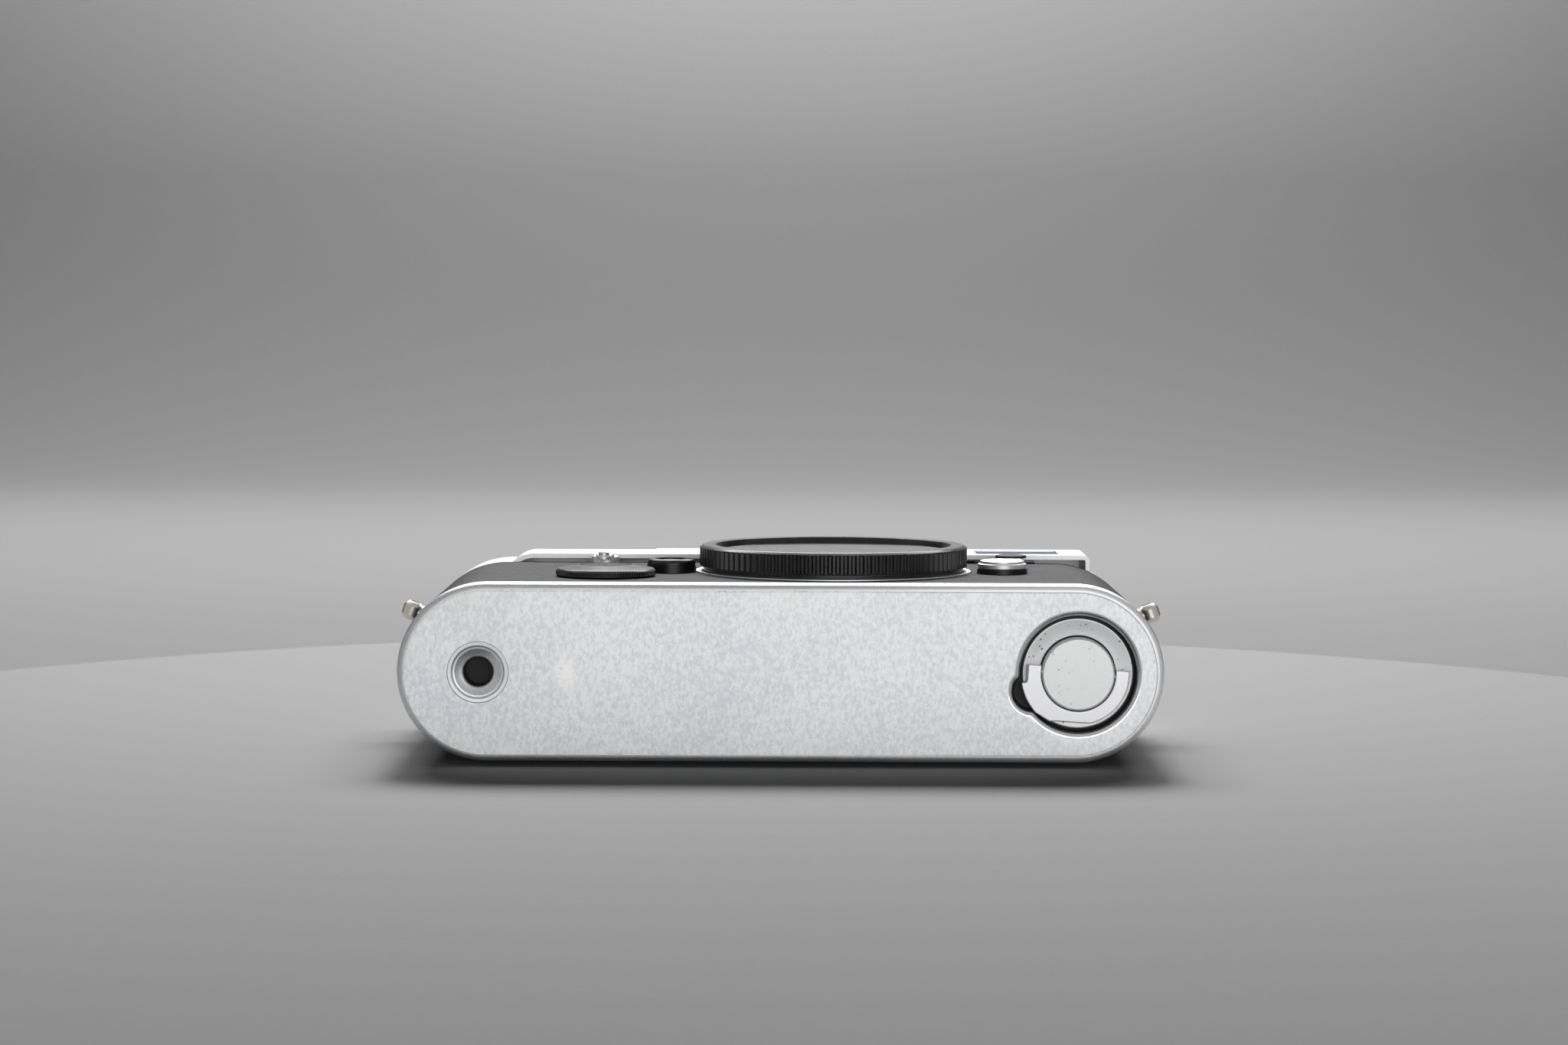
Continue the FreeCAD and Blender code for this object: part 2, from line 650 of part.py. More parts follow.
def mount_ring():
    """The bayonet ring of the lens mount, seated on the body's front wall."""
    seat = FRONT_Z - COVER_SKIN
    ring = rod_z(MOUNT_RADIUS, LENS_X, LENS_Y, seat, MOUNT_Z)
    ring = ring.fuse(rod_z(MOUNT_BORE + MOUNT_SLEEVE, LENS_X, LENS_Y, MOUNT_Z - MOUNT_DEPTH, MOUNT_Z))
    ring = ring.cut(rod_z(MOUNT_BORE, LENS_X, LENS_Y, MID_Z, FAR)).removeSplitter()
    return ring.cut(Part.makeCompound(mount_screw_rods(SNUG)))


def body_cap():
    """The cap on the lens mount: knurled rim, sunk face and a hollow plug."""
    foot = MOUNT_PROUD + CAP_SEAT_GAP
    plug = MOUNT_BORE - GAP
    profile = [
        (0, CAP_TOP - CAP_RECESS_DEPTH),
        (CAP_RECESS_RADIUS, CAP_TOP - CAP_RECESS_DEPTH),
        (CAP_RECESS_RADIUS, CAP_TOP),
        (CAP_RIM_RADIUS, CAP_TOP),
        (CAP_KNURL_RADIUS, CAP_TOP - CAP_CHAMFER),
        (CAP_KNURL_RADIUS, CAP_FLANGE_TOP),
        (CAP_FLANGE_RADIUS, CAP_FLANGE_TOP),
        (CAP_FLANGE_RADIUS, foot),
        (plug, foot),
        (plug, foot - CAP_PLUG_DEPTH),
        (plug - CAP_PLUG_WALL, foot - CAP_PLUG_DEPTH),
        (plug - CAP_PLUG_WALL, CAP_TOP - CAP_RECESS_DEPTH - CAP_FLOOR),
        (0, CAP_TOP - CAP_RECESS_DEPTH - CAP_FLOOR),
    ]
    return turned([(radius, FRONT_Z + z) for radius, z in profile], LENS_X, LENS_Y)


def battery_floor():
    """The level of the battery well's floor."""
    return FRONT_Z - BATTERY_COUNT * BATTERY_HEIGHT - 2 * BATTERY_HOLDER_WALL - GAP * 2


def battery_cover():
    """The round cover of the battery well."""
    profile = [
        (0, RUNNING),
        (BATTERY_COVER_RADIUS, RUNNING),
        (BATTERY_COVER_RADIUS, BATTERY_COVER_RING_TOP - GAP / 2),
        (BATTERY_COVER_RING, BATTERY_COVER_RING_TOP),
        (BATTERY_COVER_SHOULDER, BATTERY_COVER_RING_TOP),
        (BATTERY_COVER_NOSE + GAP, BATTERY_COVER_TOP),
        (BATTERY_COVER_NOSE, BATTERY_COVER_TOP),
        (BATTERY_COVER_NOSE, BATTERY_COVER_TOP - BATTERY_DISC_SKIN),
        (0, BATTERY_COVER_TOP - BATTERY_DISC_SKIN),
    ]
    return turned([(radius, FRONT_Z + z) for radius, z in profile], BATTERY_X, BATTERY_Y)


def battery_cover_disc():
    """The leatherette disc let into the battery cover."""
    high = FRONT_Z + BATTERY_COVER_TOP
    return rod_z(BATTERY_COVER_NOSE - SNUG, BATTERY_X, BATTERY_Y, high - BATTERY_DISC_SKIN, high)


def battery_holder():
    """The cup that holds the cells under the cover."""
    low, high = battery_floor() + GAP, FRONT_Z
    cup = rod_z(BATTERY_HOLDER_RADIUS, BATTERY_X, BATTERY_Y, low, high)
    bore = BATTERY_HOLDER_RADIUS - BATTERY_HOLDER_WALL
    return cup.cut(rod_z(bore, BATTERY_X, BATTERY_Y, low + BATTERY_HOLDER_WALL, high + PAST))


def batteries():
    """The button cells, stacked in their holder."""
    low = battery_floor() + GAP + BATTERY_HOLDER_WALL
    cells = [
        rod_z(BATTERY_RADIUS, BATTERY_X, BATTERY_Y, low + i * BATTERY_HEIGHT,
              low + (i + 1) * BATTERY_HEIGHT - RUNNING)
        for i in range(BATTERY_COUNT)
    ]
    return Part.makeCompound(cells)


def rewind_release_lever():
    """The small lever that frees the film for rewinding."""
    x, y, z = REWIND_LEVER_X, REWIND_LEVER_Y, FRONT_Z
    hub = rod_z(REWIND_HUB_RADIUS, x, y, z - COVER_SKIN + RUNNING, z + REWIND_HUB_TOP)
    arm_top = REWIND_HUB_TOP + REWIND_ARM_SKIN
    arm = bar((x, y), (x, y - REWIND_ARM_LENGTH), REWIND_ARM_WIDTH, z + REWIND_HUB_TOP - REWIND_ARM_SKIN,
              z + arm_top)
    tab = rod_z(REWIND_TAB_WIDTH / 2, x, y - REWIND_ARM_LENGTH, z + REWIND_HUB_TOP, z + REWIND_TAB_TOP)
    stem = rod_z(LEVER_STEM_RADIUS, x, y, z - COVER_SKIN - SHELL_WALL - PAST, z)
    return hub.fuse([arm, tab, stem]).removeSplitter()


def lens_release_collar():
    """The round guard of the lens release button, open towards the lens."""
    low = FRONT_Z - COVER_SKIN
    collar = rod_z(LENS_COLLAR_RADIUS, LENS_BUTTON_X, LENS_BUTTON_Y, low, FRONT_Z + LENS_COLLAR_TOP)
    collar = collar.makeFillet(LENS_COLLAR_ROUND, edges_at_z(collar, FRONT_Z + LENS_COLLAR_TOP))
    collar = collar.cut(rod_z(LENS_COLLAR_INNER, LENS_BUTTON_X, LENS_BUTTON_Y, low - PAST, FAR))
    toward = math.degrees(math.atan2(LENS_Y - LENS_BUTTON_Y, LENS_X - LENS_BUTTON_X))
    mouth = box((0, LENS_COLLAR_RADIUS + PAST), (-LENS_COLLAR_INNER / 2, LENS_COLLAR_INNER / 2),
                (FRONT_Z + LENS_COLLAR_TOP / 2, FAR))
    mouth.rotate(Vector(0, 0, 0), Vector(0, 0, 1), toward)
    mouth.translate(Vector(LENS_BUTTON_X, LENS_BUTTON_Y, 0))
    return collar.cut(mouth)


def lens_release_button():
    """The lens release button with its stem through the front wall."""
    low = FRONT_Z - COVER_SKIN + LENS_BUTTON_TRAVEL + RUNNING
    high = FRONT_Z + LENS_BUTTON_TOP
    radius = LENS_COLLAR_INNER - GAP
    button = rod_z(radius, LENS_BUTTON_X, LENS_BUTTON_Y, low, high)
    button = button.makeChamfer(GAP, edges_at_z(button, high))
    stem_low = FRONT_Z - COVER_SKIN - SHELL_WALL - PAST
    return button.fuse(rod_z(LEVER_STEM_RADIUS, LENS_BUTTON_X, LENS_BUTTON_Y, stem_low, low)).removeSplitter()


def frame_lever_base():
    """The dark ring under the frame selector lever."""
    low, high = FRONT_Z - COVER_SKIN, FRONT_Z + FRAME_BASE_TOP
    return ring_z(FRAME_BASE_RADIUS, LEVER_STEM_RADIUS + RUNNING, FRAME_LEVER_X, FRAME_LEVER_Y, low, high)


def frame_lever_end():
    """The centre of the frame selector lever's finger end."""
    lean = math.radians(FRAME_ARM_LEAN)
    return (FRAME_LEVER_X + FRAME_ARM_LENGTH * math.sin(lean),
            FRAME_LEVER_Y + FRAME_ARM_LENGTH * math.cos(lean))


def frame_lever():
    """The frame selector lever: a stepped hub and an arm."""
    x, y, z = FRAME_LEVER_X, FRAME_LEVER_Y, FRONT_Z
    step_low = z + FRAME_BASE_TOP + RUNNING
    hub = rod_z(FRAME_STEP_RADIUS, x, y, step_low, z + FRAME_STEP_TOP)
    cap = rod_z(FRAME_CAP_RADIUS, x, y, step_low, z + FRAME_CAP_TOP)
    cap = cap.makeChamfer(GAP, edges_at_z(cap, z + FRAME_CAP_TOP))
    arm_low = step_low + GAP / 2
    arm = bar((x, y), frame_lever_end(), FRAME_ARM_WIDTH, arm_low, arm_low + FRAME_ARM_SKIN)
    stem = rod_z(LEVER_STEM_RADIUS, x, y, z - COVER_SKIN - SHELL_WALL - PAST, step_low)
    return hub.fuse([cap, arm, stem]).removeSplitter()


def frame_lever_tip():
    """The dark finger pad on the frame selector lever."""
    low = FRONT_Z + FRAME_BASE_TOP + RUNNING + GAP / 2 + FRAME_ARM_SKIN
    x, y = frame_lever_end()
    pad = rod_z(FRAME_TIP_RADIUS, x, y, low, FRONT_Z + FRAME_CAP_TOP)
    return pad.makeChamfer(GAP / 2, edges_at_z(pad, FRONT_Z + FRAME_CAP_TOP))


def lug_frame(side):
    """Where a strap lug leaves the body's rounded end, and its outward direction."""
    lean = math.radians(LUG_LEAN)
    out = Vector(side * math.cos(lean), 0, math.sin(lean))
    root = Vector(side * END_CENTRE_X, LUG_Y, MID_Z) + out * (BODY_THICKNESS / 2)
    return root, out


def lug_stems(extra):
    """The stems of the strap lugs, thicker by an extra amount for their holes."""
    stems = []
    for side in (-1, 1):
        root, out = lug_frame(side)
        start = root - out * (COVER_SKIN + LUG_STEM_DEPTH)
        stems.append(rod(LUG_STEM_RADIUS + extra, tuple(start - out * extra), tuple(out), LUG_STEM_DEPTH * 2))
    return Part.makeCompound(stems)


def strap_lugs():
    """The two strap lugs: round eyes on short stems, one at each end."""
    lugs = []
    for side in (-1, 1):
        root, out = lug_frame(side)
        across = Vector(-out.z, 0, out.x) * side
        centre = root + out * (LUG_REACH - LUG_THICKNESS / 2)
        half = LUG_THICKNESS / 2
        eye = rod(half, tuple(centre - across * half), tuple(across), LUG_THICKNESS)
        eye = eye.common(Part.makeSphere(LUG_EYE_RADIUS, centre))
        start = root - out * (COVER_SKIN + LUG_STEM_DEPTH)
        stem_length = COVER_SKIN + LUG_STEM_DEPTH + LUG_REACH - LUG_THICKNESS / 2 - LUG_HOLE_RADIUS / 2
        stem = rod(LUG_STEM_RADIUS, tuple(start), tuple(out), stem_length)
        hole = rod(LUG_HOLE_RADIUS, tuple(centre - across * LUG_THICKNESS), tuple(across), LUG_THICKNESS * 2)
        lugs.append(eye.fuse(stem).cut(hole).removeSplitter())
    return Part.makeCompound(lugs)


def rounded_block(x_range, y_range, z_range, left_round, right_round):
    """A block whose two upright front edges are rounded."""
    block = box(x_range, y_range, z_range)
    for x, radius in zip(x_range, (left_round, right_round)):
        edges = [
            edge
            for edge in block.Edges
            if edge.BoundBox.YLength > (y_range[1] - y_range[0]) / 2
            and abs(edge.CenterOfMass.x - x) < SAME
            and abs(edge.CenterOfMass.z - z_range[1]) < SAME
        ]
        block = block.makeFillet(radius, edges)
    return block


def top_outline(inset):
    """The top plate's outer body drawn in by an inset, with both decks and the facade."""
    face_z = FRONT_Z + FACADE_PROUD - inset
    low = SKIRT_LEVEL - (1 if inset else 0)
    rear = stadium(inset, low, LOW_DECK_LEVEL - inset)
    facade = rounded_block((FACADE_LEFT + inset, FACADE_RIGHT - inset), (low, LOW_DECK_LEVEL - inset),
                           (MID_Z, face_z), FACADE_BLEND - inset, FACADE_ROUND - inset)
    deck = rounded_block((STEP_X + inset, DECK_RIGHT - inset), (low, DECK_LEVEL - inset),
                         (BACK_STANDOFF + inset, face_z), FACADE_ROUND - inset, FACADE_ROUND - inset)
    wall = rounded_block((STEP_X + inset, FACADE_RIGHT - inset), (low, DECK_LEVEL - inset),
                         (face_z - FACADE_RETURN, face_z), FACADE_ROUND - inset, FACADE_ROUND - inset)
    return rear.fuse([facade, deck, wall]).removeSplitter()


def knob_recess(extra):
    """The space over the sloping shelf, with an extra margin all round."""
    seat = KNOB_PIVOT_Y + KNOB_SEAT - extra
    high = seat + FAR / 4
    around = tilt_knob(rod_y(KNOB_RECESS + extra, FORK_X, MID_Z, seat, high))
    above = tilt_knob(box((FORK_X - FAR / 4, FORK_X + FAR / 4), (seat, high), (-FAR, FAR)))
    beyond = above.common(box((FACADE_RIGHT - extra, FAR), (SKIRT_LEVEL, FAR), (-FAR, FAR)))
    return around.fuse(beyond)


def window_slot(left, right, margin, low_z, high_z):
    """A window's block in the facade, grown by a margin."""
    return box((left - margin, right + margin), (WINDOW_LOW - margin, WINDOW_HIGH + margin), (low_z, high_z))


def windows():
    """The left and right sides of the three windows."""
    return {
        "rangefinder_window": (RANGE_WINDOW_LEFT, RANGE_WINDOW_RIGHT),
        "illumination_window": (LIGHT_WINDOW_LEFT, LIGHT_WINDOW_RIGHT),
        "viewfinder_window": (FINDER_WINDOW_LEFT, FINDER_WINDOW_RIGHT),
    }


def window_pane(left, right):
    """One pane, set a little behind the facade's face."""
    face = FRONT_Z + FACADE_PROUD - GAP / 2
    return window_slot(left, right, -SNUG, face - WINDOW_SKIN, face)


def top_plate():
    """The top plate: a thin shell with two decks, a facade and a sloping shelf."""
    outer = top_outline(0)
    outer = outer.cut(knob_recess(0))
    inner = top_outline(TOP_SKIN).cut(knob_recess(TOP_SKIN))
    shell = outer.cut(inner)
    shell = shell.cut(rod_z(MOUNT_RADIUS + GAP / 2, LENS_X, LENS_Y, MID_Z, FAR))
    for left, right in windows().values():
        shell = shell.cut(window_slot(left, right, 0, FRONT_Z - PAST, FAR))
    shell = shell.cut(rod_z(EYEPIECE_RADIUS - EYEPIECE_FLANGE + SNUG, EYEPIECE_X, EYEPIECE_Y, -PAST, MID_Z))
    shafts = [
        rod_y(RELEASE_STEM_RADIUS + RUNNING, RELEASE_X, MID_Z, SKIRT_LEVEL, FAR),
        rod_y(DIAL_STEM_RADIUS + RUNNING, DIAL_X, MID_Z, SKIRT_LEVEL, FAR),
        rod_y(COUNTER_RADIUS + SNUG, COUNTER_X, MID_Z, SKIRT_LEVEL, FAR),
        tilt_knob(rod_y(KNOB_SHAFT_RADIUS + RUNNING, FORK_X, MID_Z, KNOB_PIVOT_Y, FAR)),
    ]
    shell = shell.cut(Part.makeCompound(shafts))
    return shell.cut(Part.makeCompound(shoe_screw_rods(SNUG)))


def eyepiece_ring():
    """The round eyepiece mount on the back of the top plate."""
    ring = rod_z(EYEPIECE_RADIUS, EYEPIECE_X, EYEPIECE_Y, 0, BACK_STANDOFF)
    ring = ring.makeChamfer(GAP, edges_at_z(ring, 0))
    sleeve = rod_z(EYEPIECE_RADIUS - EYEPIECE_FLANGE, EYEPIECE_X, EYEPIECE_Y, BACK_STANDOFF,
                   BACK_STANDOFF + EYEPIECE_DEPTH)
    ring = ring.fuse(sleeve)
    return ring.cut(rod_z(EYEPIECE_BORE, EYEPIECE_X, EYEPIECE_Y, -1, MID_Z)).removeSplitter()


def eyepiece_lens():
    """The glass in the eyepiece ring."""
    low = BACK_STANDOFF + GAP
    return rod_z(EYEPIECE_BORE - SNUG, EYEPIECE_X, EYEPIECE_Y, low, low + EYE_LENS_SKIN)


def finder_block():
    """The optical block of the viewfinder, behind the windows."""
    back = BACK_STANDOFF + EYEPIECE_DEPTH + GAP
    front = FRONT_Z + FACADE_PROUD - WINDOW_SKIN - GAP * 2
    low = max(LENS_Y + MOUNT_RADIUS, SHELL_TOP) + GAP * 2
    body = box((FINDER_WINDOW_LEFT, EYEPIECE_X + EYEPIECE_BORE), (low, WINDOW_HIGH - GAP), (back, front))
    arm = box((RANGE_WINDOW_LEFT, FINDER_WINDOW_LEFT), (low, WINDOW_HIGH - GAP),
              (front - BODY_THICKNESS / 3, front))
    block = body.fuse(arm).removeSplitter()
    return block.cut(knob_recess(TOP_SKIN + GAP))


def shoe_screw_places():
    """The centres of the accessory shoe's screws."""
    return [
        (SHOE_X + i * SHOE_SCREW_SPAN_X / 2, MID_Z + k * SHOE_SCREW_SPAN_Z / 2)
        for i in (-1, 1)
        for k in (-1, 1)
    ]


def shoe_screw_rods(extra):
    """The shoe's screws, thicker by an extra amount for their holes."""
    top = DECK_LEVEL + SHOE_FLOOR
    return [
        rod_y(SHOE_SCREW_RADIUS + extra, x, z, top - TOP_SKIN - SHOE_FLOOR, top)
        for x, z in shoe_screw_places()
    ]


def accessory_shoe():
    """The accessory shoe: a floor and two folded rails that open to the back."""
    sides = (SHOE_X - SHOE_WIDTH / 2, SHOE_X + SHOE_WIDTH / 2)
    depth = (MID_Z - SHOE_DEPTH / 2, MID_Z + SHOE_DEPTH / 2)
    shoe = box(sides, (DECK_LEVEL, TOTAL_HEIGHT), depth)
    slot = (SHOE_X - SHOE_SLOT_WIDTH / 2, SHOE_X + SHOE_SLOT_WIDTH / 2)
    end = (MID_Z - SHOE_DEPTH / 2 - PAST, MID_Z + SHOE_DEPTH / 2 - SHOE_LIP)
    shoe = shoe.cut(box(slot, (DECK_LEVEL + SHOE_FLOOR, TOTAL_HEIGHT - SHOE_LIP), end))
    mouth = (SHOE_X - SHOE_LIP_GAP / 2, SHOE_X + SHOE_LIP_GAP / 2)
    shoe = shoe.cut(box(mouth, (DECK_LEVEL + SHOE_FLOOR, FAR), (end[0], FAR)))
    shoe = shoe.cut(Part.makeCompound(shoe_screw_rods(SNUG)))
    return shoe.cut(rod_y(SHOE_CONTACT_RADIUS + SNUG, SHOE_X, MID_Z, DECK_LEVEL, TOTAL_HEIGHT))


def shoe_contact():
    """The middle contact of the accessory shoe."""
    return rod_y(SHOE_CONTACT_RADIUS, SHOE_X, MID_Z, DECK_LEVEL, DECK_LEVEL + SHOE_FLOOR + GAP / 2)


def release_collar():
    """The fixed collar around the shutter release."""
    low, high = LOW_DECK_LEVEL, LOW_DECK_LEVEL + RELEASE_COLLAR_TOP
    collar = rod_y(RELEASE_COLLAR_RADIUS, RELEASE_X, MID_Z, low, high)
    collar = collar.makeChamfer(GAP * 2, edges_at_y(collar, high))
    floor = low + RELEASE_BUTTON_TOP - RELEASE_BUTTON_SKIN - RELEASE_TRAVEL - GAP
    collar = collar.cut(rod_y(RELEASE_COLLAR_INNER, RELEASE_X, MID_Z, floor, FAR))
    return collar.cut(rod_y(RELEASE_STEM_RADIUS + RUNNING, RELEASE_X, MID_Z, low - PAST, FAR))


def release_button():
    """The shutter release button with its stem and its threaded cable hole."""
    top = LOW_DECK_LEVEL + RELEASE_BUTTON_TOP
    button = rod_y(RELEASE_BUTTON_RADIUS, RELEASE_X, MID_Z,
                  top - RELEASE_BUTTON_SKIN, top)
    button = button.makeChamfer(GAP, edges_at_y(button, top))
    button = button.fuse(rod_y(RELEASE_STEM_RADIUS, RELEASE_X, MID_Z, top - RELEASE_STEM_LENGTH,
                                top - GAP * 2))
    hole = cone_y(RELEASE_STEM_RADIUS / 2, RELEASE_STEM_RADIUS, RELEASE_X, MID_Z,
                  top - RELEASE_BUTTON_SKIN, top)
    return button.cut(hole).removeSplitter()


def on_lever(shape):
    """Turns a piece made along +X from the release axis to the advance lever's rest angle."""
    shape.rotate(Vector(RELEASE_X, 0, MID_Z), Vector(0, 1, 0), -ADVANCE_ARM_ANGLE)
    return shape


def advance_lever():
    """The film advance lever: a boss around the collar and a flat arm."""
    low, high = LOW_DECK_LEVEL + RUNNING, LOW_DECK_LEVEL + ADVANCE_BOSS_TOP
    boss = rod_y(ADVANCE_BOSS_RADIUS, RELEASE_X, MID_Z, low, high)
    boss = boss.makeChamfer(GAP, edges_at_y(boss, high))
    half = ADVANCE_ARM_WIDTH / 2
    end_x = RELEASE_X + ADVANCE_ARM_LENGTH
    arm_low = high - GAP - ADVANCE_ARM_SKIN
    arm = box((RELEASE_X, end_x), (arm_low, high - GAP), (MID_Z - half, MID_Z + half))
    arm = arm.fuse(rod_y(half, end_x, MID_Z, arm_low, high - GAP))
    lever = boss.fuse(arm).removeSplitter()
    lever = lever.cut(rod_y(RELEASE_COLLAR_RADIUS + RUNNING, RELEASE_X, MID_Z, 0, FAR))
    return on_lever(lever.cut(rod_y(TIP_PIN_RADIUS + SNUG, end_x, MID_Z, 0, FAR)))


def advance_tip_pin():
    """The pin on which the lever's tip swings."""
    high = LOW_DECK_LEVEL + ADVANCE_BOSS_TOP - GAP
    low = high - ADVANCE_ARM_SKIN - RUNNING - TIP_HEIGHT
    return on_lever(rod_y(TIP_PIN_RADIUS, RELEASE_X + ADVANCE_ARM_LENGTH, MID_Z, low, high))


def advance_tip():
    """The moulded tip hinged under the end of the advance lever."""
    high = LOW_DECK_LEVEL + ADVANCE_BOSS_TOP - GAP - ADVANCE_ARM_SKIN - RUNNING
    low = high - TIP_HEIGHT
    end_x = RELEASE_X + ADVANCE_ARM_LENGTH
    half = TIP_WIDTH / 2
    tip = rod_y(half, end_x, MID_Z, low, high)
    tip = tip.fuse(box((end_x, end_x + TIP_LENGTH), (low, high), (MID_Z - half, MID_Z + half)))
    tip = tip.fuse(rod_y(half, end_x + TIP_LENGTH, MID_Z, low, high)).removeSplitter()
    tip = tip.cut(rod_y(TIP_PIN_RADIUS + RUNNING, end_x, MID_Z, 0, FAR))
    tip.rotate(Vector(end_x, 0, MID_Z), Vector(0, 1, 0), -TIP_TURN)
    return on_lever(tip)


def shutter_speed_dial():
    """The shutter speed dial with its stem."""
    low, high = LOW_DECK_LEVEL + GAP / 2, LOW_DECK_LEVEL + DIAL_HEIGHT
    dial = rod_y(DIAL_RADIUS, DIAL_X, MID_Z, low, high)
    dial = dial.makeChamfer(GAP * 2, edges_at_y(dial, high))
    return dial.fuse(rod_y(DIAL_STEM_RADIUS, DIAL_X, MID_Z, LOW_DECK_LEVEL - DIAL_STEM_LENGTH, high - PAST))


def counter_window():
    """The lens over the frame counter."""
    low = LOW_DECK_LEVEL - TOP_SKIN
    return rod_y(COUNTER_RADIUS, COUNTER_X, MID_Z, low, low + COUNTER_LENS_SKIN)


def counter_disc():
    """The numbered disc of the frame counter, under its lens."""
    high = LOW_DECK_LEVEL - COUNTER_DISC_DROP
    disc = rod_y(COUNTER_DISC_RADIUS, COUNTER_DISC_X, MID_Z, high - COUNTER_DISC_SKIN, high)
    return disc.fuse(rod_y(RELEASE_STEM_RADIUS, COUNTER_DISC_X, MID_Z, SHELL_TOP, high)).removeSplitter()


def rewind_knob():
    """The rewind knob, its shaft and the upper bevel gear, on the sloping axis."""
    seat = KNOB_PIVOT_Y + KNOB_SEAT + GAP
    knob = rod_y(KNOB_RADIUS, FORK_X, MID_Z, seat, seat + KNOB_HEIGHT)
    knob = knob.makeChamfer(GAP, edges_at_y(knob, seat + KNOB_HEIGHT))
    bevel_low = KNOB_PIVOT_Y + BEVEL_SKIN
    knob = knob.fuse(rod_y(KNOB_SHAFT_RADIUS, FORK_X, MID_Z, bevel_low, seat + GAP))
    gear = cone_y(BEVEL_RADIUS, BEVEL_RADIUS - BEVEL_SKIN, FORK_X, MID_Z, bevel_low, bevel_low + BEVEL_SKIN)
    knob = knob.fuse(gear).removeSplitter()
    groove_low = seat + KNOB_HEIGHT - CRANK_SKIN
    side = CRANK_WIDTH / 2 + GAP
    groove = box((FORK_X - FAR, FORK_X + FAR), (groove_low, FAR), (MID_Z - side, MID_Z + side))
    hinge_x, level = crank_axis()
    pin_reach = CRANK_WIDTH / 2 + GAP * 2
    pin = rod(CRANK_PIN_RADIUS, (hinge_x, level, MID_Z - pin_reach), (0, 0, 1), pin_reach * 2)
    return tilt_knob(knob.cut(groove).fuse(pin).removeSplitter())


def crank_axis():
    """The X and the level of the crank's hinge before the knob is tilted."""
    level = KNOB_PIVOT_Y + KNOB_SEAT + GAP + KNOB_HEIGHT - CRANK_SKIN / 2
    return FORK_X + KNOB_RADIUS - CRANK_SKIN, level


def rewind_crank():
    """The folding crank that lies in the knob's groove."""
    hinge_x, level = crank_axis()
    half = CRANK_WIDTH / 2
    low, high = level - CRANK_SKIN / 2 + RUNNING, level + CRANK_SKIN / 2
    far_x = FORK_X - KNOB_RADIUS + half
    crank = box((far_x, hinge_x), (low, high), (MID_Z - half, MID_Z + half))
    crank = crank.fuse(rod_y(half, far_x, MID_Z, low, high))
    knuckle = rod(CRANK_SKIN / 2 - RUNNING, (hinge_x, level, MID_Z - half), (0, 0, 1), CRANK_WIDTH)
    crank = crank.fuse(knuckle)
    crank = crank.fuse(rod_y(CRANK_GRIP_RADIUS, far_x, MID_Z, low, high + CRANK_GRIP_HEIGHT)).removeSplitter()
    hole = rod(CRANK_PIN_RADIUS + RUNNING, (hinge_x, level, MID_Z - FAR / 2), (0, 0, 1), FAR)
    return tilt_knob(crank.cut(hole))


def rewind_fork():
    """The fork that turns the cassette, its shaft and the lower bevel gear."""
    high = BULKHEAD_LEVEL - GAP
    fork = rod_y(FORK_RADIUS, FORK_X, MID_Z, high - BEVEL_SKIN, high)
    blade = box((FORK_X - FORK_RADIUS + GAP, FORK_X + FORK_RADIUS - GAP), (high - FORK_LENGTH, high),
                (MID_Z - FORK_BLADE / 2, MID_Z + FORK_BLADE / 2))
    gear_top = KNOB_PIVOT_Y - BEVEL_SKIN
    gear = cone_y(BEVEL_RADIUS - BEVEL_SKIN, BEVEL_RADIUS, FORK_X, MID_Z, gear_top - BEVEL_SKIN, gear_top)
    shaft = rod_y(SHAFT_RADIUS, FORK_X, MID_Z, high - BEVEL_SKIN, gear_top - GAP)
    return fork.fuse([blade, gear, shaft]).removeSplitter()


def take_up_spool():
    """The spool that takes up the exposed film."""
    x = -END_CENTRE_X
    high = BULKHEAD_LEVEL - GAP
    spool = rod_y(SPOOL_RADIUS, x, MID_Z, SPOOL_BOTTOM, high)
    for low in (SPOOL_BOTTOM, high - SPOOL_FLANGE_SKIN):
        spool = spool.fuse(rod_y(SPOOL_FLANGE_RADIUS, x, MID_Z, low, low + SPOOL_FLANGE_SKIN))
    return spool.fuse(rod_y(SHAFT_RADIUS, x, MID_Z, high, SHELL_TOP + PAST)).removeSplitter()


def sprocket_shaft():
    """The shaft with the two toothed wheels that meter the film."""
    high = BULKHEAD_LEVEL - GAP
    shaft = rod_y(SHAFT_RADIUS, SPROCKET_X, SPROCKET_Z, SPOOL_BOTTOM, SHELL_TOP + PAST)
    middle = (SPOOL_BOTTOM + high) / 2
    for side in (-1, 1):
        level = middle + side * (FILM_WIDTH / 2 - SPROCKET_WHEEL_SKIN)
        low, top = level - SPROCKET_WHEEL_SKIN / 2, level + SPROCKET_WHEEL_SKIN / 2
        shaft = shaft.fuse(rod_y(SPROCKET_RADIUS, SPROCKET_X, SPROCKET_Z, low, top))
        for i in range(SPROCKET_TOOTH_COUNT):
            half = SPROCKET_TOOTH_WIDTH / 2
            tooth = box((0, SPROCKET_RADIUS + SPROCKET_TOOTH), (low + half, top - half), (-half, half))
            tooth.rotate(Vector(0, 0, 0), Vector(0, 1, 0), i * 360 / SPROCKET_TOOTH_COUNT)
            tooth.translate(Vector(SPROCKET_X, 0, SPROCKET_Z))
            shaft = shaft.fuse(tooth)
    return shaft.removeSplitter()


def gate_window(low_z, high_z, margin):
    """The picture opening behind the lens, grown by a margin."""
    wide, tall = GATE_WIDTH / 2 + margin, GATE_HEIGHT / 2 + margin
    return box((LENS_X - wide, LENS_X + wide), (LENS_Y - tall, LENS_Y + tall), (low_z, high_z))


